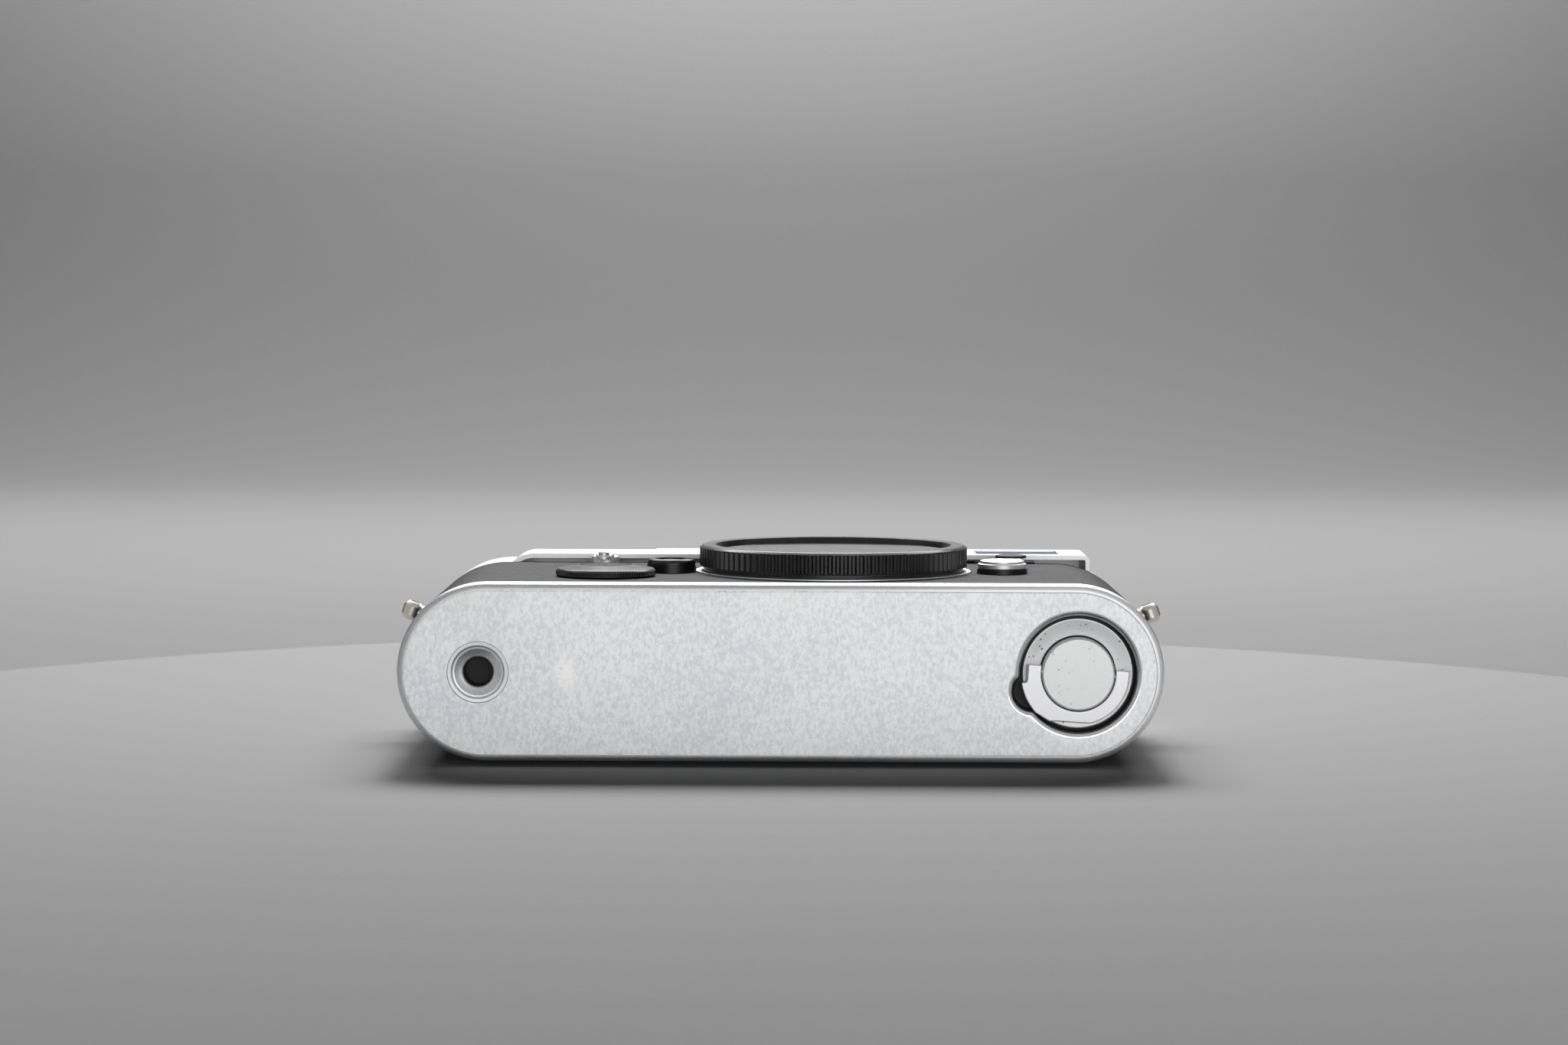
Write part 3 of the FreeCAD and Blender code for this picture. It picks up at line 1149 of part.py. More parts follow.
def film_gate():
    """The plate with the picture opening and the film rails."""
    gate = box((GATE_LEFT, GATE_RIGHT), (GATE_BOTTOM, GATE_TOP), (FILM_Z, FILM_Z + GATE_SKIN))
    return gate.cut(gate_window(0, MID_Z, 0))


def shutter_crate():
    """The box between the film gate and the mount that holds the curtains."""
    low = FILM_Z + GATE_SKIN
    crate = box((GATE_LEFT, GATE_RIGHT), (GATE_BOTTOM, GATE_TOP), (low, CRATE_FRONT))
    wall = CRATE_WALL
    crate = crate.cut(box((GATE_LEFT + wall, GATE_RIGHT - wall), (GATE_BOTTOM + wall, GATE_TOP - wall),
                          (low + wall, CRATE_FRONT - wall)))
    crate = crate.cut(gate_window(0, MID_Z, PAST))
    crate = crate.cut(rod_z(CRATE_BORE, LENS_X, LENS_Y, MID_Z, FAR))
    pivot_x, pivot_z = arm_pivot()
    post = rod_y(ARM_PIN_RADIUS, pivot_x, pivot_z, arm_levels()[0] - ARM_FOOT, arm_levels()[1] + GAP)
    foot_low, foot_high = arm_levels()[0] - ARM_FOOT, arm_levels()[0] - GAP
    foot = box((pivot_x - ARM_FOOT / 2, pivot_x + ARM_FOOT / 2), (foot_low, foot_high),
               (CRATE_FRONT - wall, pivot_z))
    drums = [rod_y(wall / 2 + RUNNING, x, DRUM_Z, 0, FAR) for x in drum_places()]
    return crate.fuse([post, foot]).cut(Part.makeCompound(drums)).removeSplitter()


def drum_places():
    """The X of the two curtain drums."""
    return GATE_LEFT + DRUM_INSET + DRUM_SHIFT, GATE_RIGHT - DRUM_INSET


def curtain_drum(x):
    """One curtain drum on its own axle."""
    wall = CRATE_WALL
    low, high = GATE_BOTTOM + wall, GATE_TOP - wall
    drum = rod_y(DRUM_RADIUS, x, DRUM_Z, low + GAP, high - GAP)
    return drum.fuse(rod_y(wall / 2, x, DRUM_Z, GATE_BOTTOM, GATE_TOP)).removeSplitter()


def curtain(order, left, right):
    """One curtain as a flat sheet in front of the picture opening."""
    low = FILM_Z + GATE_SKIN + CRATE_WALL + GAP + order * (CURTAIN_SKIN + CURTAIN_GAP)
    inside = CRATE_WALL + CURTAIN_RISE
    return box((left, right), (GATE_BOTTOM + inside, GATE_TOP - inside), (low, low + CURTAIN_SKIN))


def arm_levels():
    """The Y levels of the rangefinder arm."""
    middle = LENS_Y + ROLLER_OFFSET
    return middle - ARM_SKIN / 2, middle + ARM_SKIN / 2


def arm_pivot():
    """The X and Z of the rangefinder arm's pivot."""
    return LENS_X + ARM_REACH, CRATE_FRONT + ARM_RISE + ARM_SKIN / 2


def rangefinder_arm():
    """The arm that follows the lens's focusing cam, with its roller."""
    low, high = arm_levels()
    pivot_x, pivot_z = arm_pivot()
    arm = box((LENS_X, pivot_x), (low, high), (pivot_z - ARM_SKIN / 2, pivot_z + ARM_SKIN / 2))
    arm = arm.fuse(rod_y(ARM_EYE_RADIUS, pivot_x, pivot_z, low, high))
    arm = arm.fuse(rod_y(ROLLER_RADIUS, LENS_X, pivot_z, low, high)).removeSplitter()
    return arm.cut(rod_y(ARM_PIN_RADIUS + RUNNING, pivot_x, pivot_z, 0, FAR))


def door_pin_rod(extra):
    """The back door's hinge pin, thicker by an extra amount for its holes."""
    start = DOOR_LEFT - DOOR_PIN_OVERLAP
    length = DOOR_RIGHT - DOOR_LEFT + 2 * DOOR_PIN_OVERLAP
    level = BACK_STANDOFF + DOOR_KNUCKLE
    return rod(DOOR_PIN_RADIUS + extra, (start - extra, DOOR_HINGE_Y, level), (1, 0, 0), length + 2 * extra)


def door_hinge_pin():
    """The pin across the top of the back door."""
    return door_pin_rod(0)


def back_door():
    """The hinged back door, without its covering."""
    low = BACK_STANDOFF + COVER_SKIN
    door = box((DOOR_LEFT, DOOR_RIGHT), (DOOR_BOTTOM, DOOR_HINGE_Y), (low, BACK_STANDOFF + DOOR_SKIN))
    level = BACK_STANDOFF + DOOR_KNUCKLE
    knuckle = rod(DOOR_KNUCKLE, (DOOR_LEFT, DOOR_HINGE_Y, level), (1, 0, 0), DOOR_RIGHT - DOOR_LEFT)
    door = door.fuse(knuckle).removeSplitter()
    door = door.cut(rod_z(SPEED_DIAL_RADIUS + RUNNING, SPEED_DIAL_X, SPEED_DIAL_Y, -1, low + SPEED_DIAL_SINK))
    return door.cut(door_pin_rod(RUNNING))


def door_covering():
    """The leatherette on the back door."""
    high = DOOR_HINGE_Y - DOOR_KNUCKLE - GAP
    skin = box((DOOR_LEFT, DOOR_RIGHT), (DOOR_BOTTOM, high), (BACK_STANDOFF, BACK_STANDOFF + COVER_SKIN))
    return skin.cut(rod_z(SPEED_DIAL_RADIUS + RUNNING, SPEED_DIAL_X, SPEED_DIAL_Y, -1, MID_Z))


def film_speed_dial():
    """The film speed dial let into the back door."""
    high = BACK_STANDOFF + COVER_SKIN + SPEED_DIAL_SINK - RUNNING
    dial = rod_z(SPEED_DIAL_RADIUS, SPEED_DIAL_X, SPEED_DIAL_Y, 0, high)
    return dial.makeChamfer(GAP, edges_at_z(dial, 0))


def platen_sides():
    """The X and Y sides of the pressure plate."""
    across = (LENS_X - PLATEN_WIDTH / 2, LENS_X + PLATEN_WIDTH / 2)
    upright = (LENS_Y - PLATEN_HEIGHT / 2, LENS_Y + PLATEN_HEIGHT / 2)
    return across, upright


def pressure_plate():
    """The plate that holds the film flat against the gate."""
    across, upright = platen_sides()
    high = FILM_Z - PLATEN_GAP
    return box(across, upright, (high - PLATEN_SKIN, high))


def pressure_spring():
    """The leaf spring between the back door and the pressure plate."""
    across, upright = platen_sides()
    low, high = BACK_STANDOFF + DOOR_SKIN, FILM_Z - PLATEN_GAP - PLATEN_SKIN
    middle = (upright[0] + upright[1]) / 2
    half_foot, half_leaf = SPRING_FOOT_WIDTH / 2, SPRING_WIDTH / 2
    foot = box((LENS_X - SPRING_INSET / 2, LENS_X + SPRING_INSET / 2),
               (middle - half_foot, middle + half_foot), (low, high))
    arms = box((across[0] + SPRING_INSET, across[1] - SPRING_INSET), (middle - half_leaf, middle + half_leaf),
               (high - GAP, high))
    return foot.fuse(arms).removeSplitter()


def all_pieces():
    """Every piece of the camera, by node name."""
    first, second = drum_places()
    split = LENS_X - GATE_WIDTH / 4
    pieces = {
        "base_plate": base_plate(),
        "tripod_bush": tripod_bush(),
        "base_hook": base_hook(),
        "lock_button": lock_button(),
        "lock_pins": lock_pins(),
        "lock_handle": lock_handle(),
        "lock_dish": lock_dish(),
        "lock_cam": lock_cam(),
        "body_shell": body_shell(),
        "body_covering": body_covering(),
        "mount_ring": mount_ring(),
        "mount_screws": Part.makeCompound(mount_screw_rods(0)),
        "body_cap": body_cap(),
        "battery_cover": battery_cover(),
        "battery_cover_disc": battery_cover_disc(),
        "battery_holder": battery_holder(),
        "batteries": batteries(),
        "rewind_release_lever": rewind_release_lever(),
        "lens_release_collar": lens_release_collar(),
        "lens_release_button": lens_release_button(),
        "frame_lever_base": frame_lever_base(),
        "frame_lever": frame_lever(),
        "frame_lever_tip": frame_lever_tip(),
        "strap_lugs": strap_lugs(),
        "top_plate": top_plate(),
        "eyepiece_ring": eyepiece_ring(),
        "eyepiece_lens": eyepiece_lens(),
        "finder_block": finder_block(),
        "accessory_shoe": accessory_shoe(),
        "shoe_contact": shoe_contact(),
        "shoe_screws": Part.makeCompound(shoe_screw_rods(0)),
        "release_collar": release_collar(),
        "release_button": release_button(),
        "advance_lever": advance_lever(),
        "advance_tip_pin": advance_tip_pin(),
        "advance_tip": advance_tip(),
        "shutter_speed_dial": shutter_speed_dial(),
        "counter_window": counter_window(),
        "counter_disc": counter_disc(),
        "rewind_knob": rewind_knob(),
        "rewind_crank": rewind_crank(),
        "rewind_fork": rewind_fork(),
        "take_up_spool": take_up_spool(),
        "sprocket_shaft": sprocket_shaft(),
        "film_gate": film_gate(),
        "shutter_crate": shutter_crate(),
        "curtain_drum_first": curtain_drum(first),
        "curtain_drum_second": curtain_drum(second),
        "first_curtain": curtain(0, split - GATE_WIDTH / 2, LENS_X + GATE_WIDTH / 2 + 2),
        "second_curtain": curtain(1, GATE_LEFT + CRATE_WALL + GAP, split),
        "rangefinder_arm": rangefinder_arm(),
        "back_door": back_door(),
        "door_covering": door_covering(),
        "door_hinge_pin": door_hinge_pin(),
        "film_speed_dial": film_speed_dial(),
        "pressure_plate": pressure_plate(),
        "pressure_spring": pressure_spring(),
    }
    for name, (left, right) in windows().items():
        pieces[name] = window_pane(left, right)
    return pieces


def main():
    """Writes one STEP file for each piece, in the frame of the finished part."""
    os.makedirs("parts", exist_ok=True)
    for name, shape in all_pieces().items():
        shape.translate(Vector(0, -TOTAL_HEIGHT / 2, 0))
        shape.exportStep(os.path.join("parts", name + ".step"))


main()
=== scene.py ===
"""A rangefinder film camera on its back: its finishes, modelled pieces, lights and viewpoint."""

import logging
import math
from dataclasses import dataclass, field
from enum import Enum

import bmesh
import bpy
from mathutils import Matrix, Vector


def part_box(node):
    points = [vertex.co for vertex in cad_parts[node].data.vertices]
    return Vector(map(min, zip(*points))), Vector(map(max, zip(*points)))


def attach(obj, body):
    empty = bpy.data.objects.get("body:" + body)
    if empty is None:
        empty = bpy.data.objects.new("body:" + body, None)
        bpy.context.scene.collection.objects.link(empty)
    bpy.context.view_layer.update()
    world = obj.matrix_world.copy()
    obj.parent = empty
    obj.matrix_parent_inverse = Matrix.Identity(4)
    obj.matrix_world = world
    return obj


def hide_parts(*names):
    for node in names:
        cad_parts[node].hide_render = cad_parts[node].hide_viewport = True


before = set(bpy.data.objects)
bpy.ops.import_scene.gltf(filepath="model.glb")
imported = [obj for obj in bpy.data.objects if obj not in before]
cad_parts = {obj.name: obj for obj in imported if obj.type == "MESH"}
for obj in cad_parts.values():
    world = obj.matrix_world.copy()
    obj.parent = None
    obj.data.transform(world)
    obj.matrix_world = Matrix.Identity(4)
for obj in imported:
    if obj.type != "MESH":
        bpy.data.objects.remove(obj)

MM = 0.001
MERGE = 0.0005
POLE_MERGE = 0.0004
OUTLINE_MERGE = 1e-4
RIDGE_COLUMNS = 4
SUNK_COLUMNS = (1, 2)
LOG = logging.getLogger("camera")
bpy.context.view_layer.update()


class Facing(Enum):
    """The side of the body that a piece stands on, as the rotation from its own axes to the frame."""

    FRONT = Matrix(((1, 0, 0), (0, 1, 0), (0, 0, 1)))
    BACK = Matrix(((-1, 0, 0), (0, 1, 0), (0, 0, -1)))
    BASE = Matrix(((1, 0, 0), (0, 0, -1), (0, 1, 0)))
    TOP = Matrix(((-1, 0, 0), (0, 0, 1), (0, 1, 0)))


# ---------------------------------------------------------------- shader maths


class Signal:
    """One number that varies over a surface, with Python's operators in place of Math nodes."""

    def __init__(self, graph: "Graph", socket: bpy.types.NodeSocket) -> None:
        """Wraps a socket of a graph."""
        self.graph = graph
        self.socket = socket

    def _math(self, operation: str, *values: object) -> "Signal":
        """Adds a Math node.

        Args:
            operation: The node's operation.
            values: Its inputs in order, signals or numbers.

        Returns:
            The node's result.
        """
        node = self.graph.add("ShaderNodeMath", {"operation": operation}, dict(enumerate(values)))
        return Signal(self.graph, node.outputs[0])

    def __add__(self, other: object) -> "Signal":
        """The sum."""
        return self._math("ADD", self, other)

    __radd__ = __add__

    def __sub__(self, other: object) -> "Signal":
        """The difference."""
        return self._math("SUBTRACT", self, other)

    def __rsub__(self, other: object) -> "Signal":
        """A number minus the signal."""
        return self._math("SUBTRACT", other, self)

    def __mul__(self, other: object) -> "Signal":
        """The product."""
        return self._math("MULTIPLY", self, other)

    __rmul__ = __mul__

    def __truediv__(self, other: object) -> "Signal":
        """The quotient."""
        return self._math("DIVIDE", self, other)

    def __abs__(self) -> "Signal":
        """The size without its sign."""
        return self._math("ABSOLUTE", self)

    def most(self, other: object) -> "Signal":
        """The larger of two values."""
        return self._math("MAXIMUM", self, other)

    def root(self) -> "Signal":
        """The square root."""
        return self._math("SQRT", self)

    def sine(self) -> "Signal":
        """The sine of an angle in radians."""
        return self._math("SINE", self)

    def ramp(self, low: float, high: float) -> "Signal":
        """A smooth step.

        Args:
            low: The value that becomes 0.
            high: The value that becomes 1.

        Returns:
            The signal between 0 and 1.
        """
        settings = {"interpolation_type": "SMOOTHSTEP"}
        node = self.graph.add("ShaderNodeMapRange", settings,
                              {"Value": self, "From Min": low, "From Max": high})
        return Signal(self.graph, node.outputs["Result"])


class Graph:
    """The node tree of one material, with its surface shader."""

    def __init__(self, name: str) -> None:
        """Starts an empty material."""
        self.material = bpy.data.materials.new(name)
        self.material.use_nodes = True
        self.tree = self.material.node_tree
        self.tree.nodes.clear()
        self.shader = self.add("ShaderNodeBsdfPrincipled")
        output = self.add("ShaderNodeOutputMaterial")
        self.tree.links.new(self.shader.outputs[0], output.inputs["Surface"])
        self.place = self.add("ShaderNodeTexCoord").outputs["Object"]
        axes = self.add("ShaderNodeSeparateXYZ", None, {0: self.place})
        self.x, self.y, self.z = (Signal(self, socket) for socket in axes.outputs)

    def add(self, kind: str, settings: dict | None = None, sockets: dict | None = None) -> bpy.types.Node:
        """Adds one node.

        Args:
            kind: The node's type.
            settings: Its own properties; "stops" fills a colour ramp.
            sockets: Values or links of its inputs, by name or number.

        Returns:
            The new node.
        """
        node = self.tree.nodes.new(kind)
        for key, value in (settings or {}).items():
            if key == "stops":
                while len(node.color_ramp.elements) < len(value):
                    node.color_ramp.elements.new(0.5)
                for element, (position, colour) in zip(node.color_ramp.elements, value):
                    element.position = position
                    element.color = (*colour, 1.0)
            else:
                setattr(node, key, value)
        for key, value in (sockets or {}).items():
            self.feed(node.inputs[key], value)
        return node

    def feed(self, socket: bpy.types.NodeSocket, value: object) -> None:
        """Links or sets one input."""
        if isinstance(value, Signal):
            self.tree.links.new(value.socket, socket)
        elif isinstance(value, bpy.types.NodeSocket):
            self.tree.links.new(value, socket)
        else:
            socket.default_value = value

    def noise(self, scale: float, detail: float = 3.0, stretch: tuple = (1, 1, 1),
              rough: float = 0.5) -> Signal:
        """Fractal noise on the piece's own coordinates.

        Args:
            scale: Features per metre.
            detail: Octaves.
            stretch: How much each axis is scaled.
            rough: The weight of the finer octaves.

        Returns:
            The noise between 0 and 1.
        """
        placed = self.add("ShaderNodeMapping", None, {"Vector": self.place, "Scale": stretch})
        sockets = {"Vector": placed.outputs[0], "Scale": scale, "Detail": detail, "Roughness": rough}
        return Signal(self, self.add("ShaderNodeTexNoise", None, sockets).outputs[0])

    def cells(self, scale: float) -> Signal:
        """The distance to the nearest point of a cell pattern."""
        node = self.add("ShaderNodeTexVoronoi", None, {"Vector": self.place, "Scale": scale})
        return Signal(self, node.outputs["Distance"])

    def edge(self, radius: float) -> tuple[Signal, bpy.types.NodeSocket]:
        """Where the surface turns a corner.

        Args:
            radius: How far from the corner the mask reaches, in metres.

        Returns:
            A mask that is 1 at corners, and the rounded normal.
        """
        soft = self.add("ShaderNodeBevel", {"samples": 4}, {"Radius": radius}).outputs[0]
        hard = self.add("ShaderNodeNewGeometry").outputs["Normal"]
        dot = self.add("ShaderNodeVectorMath", {"operation": "DOT_PRODUCT"}, {0: soft, 1: hard})
        return (1.0 - Signal(self, dot.outputs["Value"])).ramp(0.01, 0.16), soft

    def blend(self, factor: object, low: object, high: object) -> bpy.types.NodeSocket:
        """A colour between two colours."""
        settings = {"data_type": "RGBA", "clamp_factor": True}
        node = self.add("ShaderNodeMix", settings)
        for index, value in ((0, factor), (6, low), (7, high)):
            if isinstance(value, tuple):
                value = (*value, 1.0)
            self.feed(node.inputs[index], value)
        return node.outputs[2]

    def bump(self, height: Signal, distance: float, strength: float = 1.0, normal: object = None) -> None:
        """Gives the surface a relief.

        Args:
            height: The relief between 0 and 1.
            distance: Its depth in metres.
            strength: How strongly it shows.
            normal: A normal that it adds to.
        """
        sockets = {"Height": height, "Distance": distance, "Strength": strength}
        if normal is not None:
            sockets["Normal"] = normal
        node = self.add("ShaderNodeBump", None, sockets)
        self.feed(self.shader.inputs["Normal"], node.outputs[0])

    def surface(self, **sockets: object) -> bpy.types.Material:
        """Sets the shader's inputs, named with underscores, and returns the material."""
        for key, value in sockets.items():
            if isinstance(value, tuple):
                value = (*value, 1.0)
            self.feed(self.shader.inputs[key.replace("_", " ").title().replace("Ior", "IOR")], value)
        return self.material


# ---------------------------------------------------------------- finishes


@dataclass(frozen=True)
class SatinChrome:
    """Fine-blasted chrome plate: an even sheen with faint clouds, specks, and corners painted brighter as an
    edge highlight, partly polished wear.
    """

    name: str = "satin_chrome"
    light: tuple = (0.88, 0.885, 0.89)
    dark: tuple = (0.78, 0.785, 0.80)
    metal: float = 0.85
    gloss: float = 0.40
    grain: float = 5200.0
    clouds: float = 260.0
    specks: float = 0.0

    def material(self) -> bpy.types.Material:
        """Builds the finish."""
        graph = Graph(self.name)
        clouds = graph.noise(self.clouds, 4.0)
        grain = graph.noise(self.grain, 2.0)
        corner, soft = graph.edge(0.12 * MM)
        tone = (clouds * 0.75 + grain * 0.5 - 0.1).ramp(0.2, 0.85)
        colour = graph.blend(tone, self.dark, self.light)
        # corners painted brighter: a painted edge highlight, partly polished wear
        colour = graph.blend(corner * 0.6, colour, (0.93, 0.92, 0.90))
        if self.specks:
            dirt = (1.0 - graph.cells(900.0).ramp(0.10, 0.22)) * graph.noise(420.0, 3.0).ramp(0.44, 0.54)
            colour = graph.blend(dirt * self.specks, colour, (0.06, 0.06, 0.06))
        graph.bump(grain, 0.012 * MM, 0.35, soft)
        roughness = self.gloss + (clouds - 0.5) * 0.14 - corner * 0.12
        return graph.surface(base_color=colour, metallic=self.metal, roughness=roughness)


@dataclass(frozen=True)
class BasePlateChrome(SatinChrome):
    """The base plate's chrome, with clouded grain, a pale patch and edge specks, and light and shade painted
    along its border line.
    """

    name: str = "base_plate_chrome"
    line_inset: float = 1.32 * MM
    line_width: float = 0.17 * MM
    patch_x: float = -38.6 * MM
    patch_radius: float = 3.4 * MM

    def material(self) -> bpy.types.Material:
        """Builds the finish around the plate's own outline."""
        low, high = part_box("base_plate")
        radius = (high[2] - low[2]) / 2
        middle = (high[2] + low[2]) / 2
        straight = high[0] - radius
        graph = Graph(self.name)
        clouds = graph.noise(1700.0, 4.0, (1.0, 1.0, 0.62), 0.62)
        patches = graph.noise(46.0, 3.0)
        grain = graph.noise(self.grain, 2.0)
        specks = graph.cells(1500.0)
        past = (abs(graph.x) - straight).most(0.0)
        rise = graph.z - middle
        inset = radius - (past * past + rise * rise).root()
        tone = (clouds * 1.1 + grain * 0.2 + patches * 0.25 - 0.28).ramp(0.25, 0.72)
        colour = graph.blend(tone, (0.71, 0.74, 0.79), (1.0, 1.0, 1.0))
        warm = graph.noise(300.0, 3.0, (1, 1, 1)).ramp(0.50, 0.74)
        rim_zone = 1.0 - inset.ramp(1.0 * MM, 5.0 * MM)
        colour = graph.blend(warm * rim_zone * 0.55, colour, (0.86, 0.84, 0.79))
        # the border is painted by side: on the left darker as shade with a painted highlight along its
        # groove, on the right brighter as a painted highlight with painted shade in its groove
        right = graph.x.ramp(0.0, straight)
        border = 1.0 - inset.ramp(self.line_inset - 0.1 * MM, self.line_inset + 0.05 * MM)
        colour = graph.blend(border * (1.0 - right) * 0.65, colour, (0.60, 0.61, 0.62))
        colour = graph.blend(border * right * 0.75, colour, (0.99, 0.99, 1.0))
        # a broken painted highlight along the groove, used on the left side
        broken = graph.noise(900.0, 3.0).ramp(0.36, 0.52)
        line = (1.0 - (abs(inset - self.line_inset) / self.line_width).ramp(0.4, 1.0)) * broken
        colour = graph.blend(line * (1.0 - right) * 0.85, colour, (1.0, 0.99, 0.94))
        # painted shade in the groove, used on the right side
        groove_painted_shade = 1.0 - (abs(inset - self.line_inset) / self.line_width).ramp(0.25, 0.55)
        colour = graph.blend(groove_painted_shade * right * 0.55, colour, (0.45, 0.45, 0.45))
        across = graph.x - self.patch_x
        away = (across * across + rise * rise * 0.72).root()
        stain = (1.0 - away.ramp(0.25 * self.patch_radius, self.patch_radius)) * graph.noise(1300.0,
                                                                                             4.0).ramp(0.3,
                                                                                                       0.62)
        colour = graph.blend(stain * 0.85, colour, (1.0, 0.99, 0.95))
        dots = (1.0 - specks.ramp(0.03, 0.10)) * graph.noise(700.0, 2.0).ramp(0.55, 0.66)
        colour = graph.blend(dots * 0.4, colour, (1.0, 1.0, 0.99))
        graph.bump(grain * 0.5 + clouds * 0.7 + line * 0.8, 0.02 * MM, 0.45)
        roughness = 0.46 + (clouds - 0.5) * 0.12 - stain * 0.05
        return graph.surface(base_color=colour, metallic=0.94, roughness=roughness)


@dataclass(frozen=True)
class Leatherette:
    """Black pebbled covering with crevices painted darker as shade, patches of dust and worn pale flecks."""

    name: str = "leatherette"
    pebble: float = 1150.0

    def material(self) -> bpy.types.Material:
        """Builds the finish."""
        graph = Graph(self.name)
        pebbles = graph.cells(self.pebble)
        crease = graph.noise(820.0, 4.0, (0.45, 1.0, 1.0))
        fine = graph.noise(6500.0, 2.0)
        dust = graph.noise(140.0, 4.0)
        relief = (1.0 - pebbles).ramp(0.25, 0.95) * 0.8 + crease * 0.7 + fine * 0.12
        # the relief sets the colour: crevices painted darker as shade, pebble tops lighter
        colour = graph.blend(relief.ramp(0.6, 1.4), (0.018, 0.018, 0.019), (0.060, 0.060, 0.061))
        colour = graph.blend(dust.ramp(0.55, 0.8) * 0.35, colour, (0.075, 0.073, 0.07))
        flecks = (1.0 - graph.cells(420.0).ramp(0.02, 0.07)) * graph.noise(160.0, 2.0).ramp(0.62, 0.7)
        colour = graph.blend(flecks * 0.8, colour, (0.42, 0.37, 0.28))
        graph.bump(relief, 0.2 * MM, 0.9)
        roughness = 0.60 + dust * 0.14 - crease * 0.12
        return graph.surface(base_color=colour, roughness=roughness, specular_ior_level=0.2)


@dataclass(frozen=True)
class BlackPart:
    """A black moulded or enamelled part with a fine skin, dust, and corners painted lighter: worn edges and a
    painted edge highlight.
    """

    name: str = "black_part"
    tone: tuple = (0.014, 0.014, 0.015)
    worn_and_highlit_edge: tuple = (0.11, 0.11, 0.11)
    gloss: float = 0.34
    skin: float = 4200.0
    coat: float = 0.0
    edge_wear_and_highlight: float = 0.6

    def material(self) -> bpy.types.Material:
        """Builds the finish."""
        graph = Graph(self.name)
        skin = graph.noise(self.skin, 3.0)
        dust = graph.noise(230.0, 5.0)
        corner, soft = graph.edge(0.14 * MM)
        colour = graph.blend(skin, self.tone, tuple(value * 1.7 for value in self.tone))
        specks = (1.0 - graph.cells(900.0).ramp(0.03, 0.09)) * dust.ramp(0.5, 0.62)
        colour = graph.blend(specks * 0.35, colour, (0.34, 0.33, 0.31))
        # corners painted lighter where the dust noise allows: worn edges and a painted edge highlight
        colour = graph.blend(corner * self.edge_wear_and_highlight * dust.ramp(0.3, 0.6), colour, self.worn_and_highlit_edge)
        graph.bump(skin, 0.014 * MM, 0.4, soft)
        roughness = self.gloss + (dust - 0.5) * 0.18 + skin * 0.05
        return graph.surface(base_color=colour, roughness=roughness, coat_weight=self.coat)


@dataclass(frozen=True)
class TurnedSteel:
    """Turned or stamped steel with fine lines."""

    name: str = "steel"
    tone: tuple = (0.68, 0.67, 0.65)
    gloss: float = 0.30

    def material(self) -> bpy.types.Material:
        """Builds the finish."""
        graph = Graph(self.name)
        lines = graph.noise(3000.0, 3.0, (1.0, 0.06, 1.0))
        stain = graph.noise(300.0, 4.0)
        corner, soft = graph.edge(0.1 * MM)
        colour = graph.blend(stain, tuple(value * 0.8 for value in self.tone), self.tone)
        # corners painted brighter: a painted edge highlight, partly polished wear
        colour = graph.blend(corner * 0.5, colour, (0.85, 0.84, 0.82))
        graph.bump(lines, 0.01 * MM, 0.3, soft)
        return graph.surface(base_color=colour, metallic=1.0, roughness=self.gloss + lines * 0.12)


@dataclass(frozen=True)
class Glass:
    """Coated window glass over a dark inside, with a faint haze."""

    name: str = "optical_glass"
    tone: tuple = (0.020, 0.028, 0.040)
    gloss: float = 0.04

    def material(self) -> bpy.types.Material:
        """Builds the finish."""
        graph = Graph(self.name)
        haze = graph.noise(350.0, 4.0)
        colour = graph.blend(haze, self.tone, tuple(value * 1.6 for value in self.tone))
        roughness = self.gloss + haze.ramp(0.5, 0.9) * 0.07
        return graph.surface(base_color=colour, roughness=roughness, coat_weight=1.0,
                             coat_tint=(0.72, 0.80, 1.0))


@dataclass(frozen=True)
class ShutterCloth:
    """Rubberised black cloth with a fine weave."""

    name: str = "shutter_cloth"
    threads: float = 3200.0

    def material(self) -> bpy.types.Material:
        """Builds the finish."""
        graph = Graph(self.name)
        turn = 2 * math.pi * self.threads
        weave = (graph.x * turn).sine() * (graph.y * turn).sine() * 0.5 + 0.5
        fuzz = graph.noise(900.0, 3.0)
        colour = graph.blend(weave * 0.6 + fuzz * 0.4, (0.008, 0.008, 0.009), (0.035, 0.034, 0.033))
        graph.bump(weave, 0.03 * MM, 0.6)
        return graph.surface(base_color=colour, roughness=0.72 + fuzz * 0.1, sheen_weight=0.2)


@dataclass(frozen=True)
class Paint:
    """A small painted mark or figure."""

    name: str
    tone: tuple
    gloss: float = 0.38

    def material(self) -> bpy.types.Material:
        """Builds the finish."""
        graph = Graph(self.name)
        worn = graph.noise(1600.0, 3.0)
        colour = graph.blend(worn, self.tone, tuple(value * 0.78 for value in self.tone))
        return graph.surface(base_color=colour, roughness=self.gloss + worn * 0.12)


@dataclass(frozen=True)
class Backdrop:
    """The plain sweep under and behind the camera."""

    name: str = "backdrop"
    tone: tuple = (0.46, 0.46, 0.46)

    def material(self) -> bpy.types.Material:
        """Builds the finish."""
        graph = Graph(self.name)
        fibre = graph.noise(420.0, 4.0)
        colour = graph.blend(fibre, self.tone, tuple(value * 1.07 for value in self.tone))
        graph.bump(fibre, 0.05 * MM, 0.25)
        return graph.surface(base_color=colour, roughness=0.9, specular_ior_level=0.0)


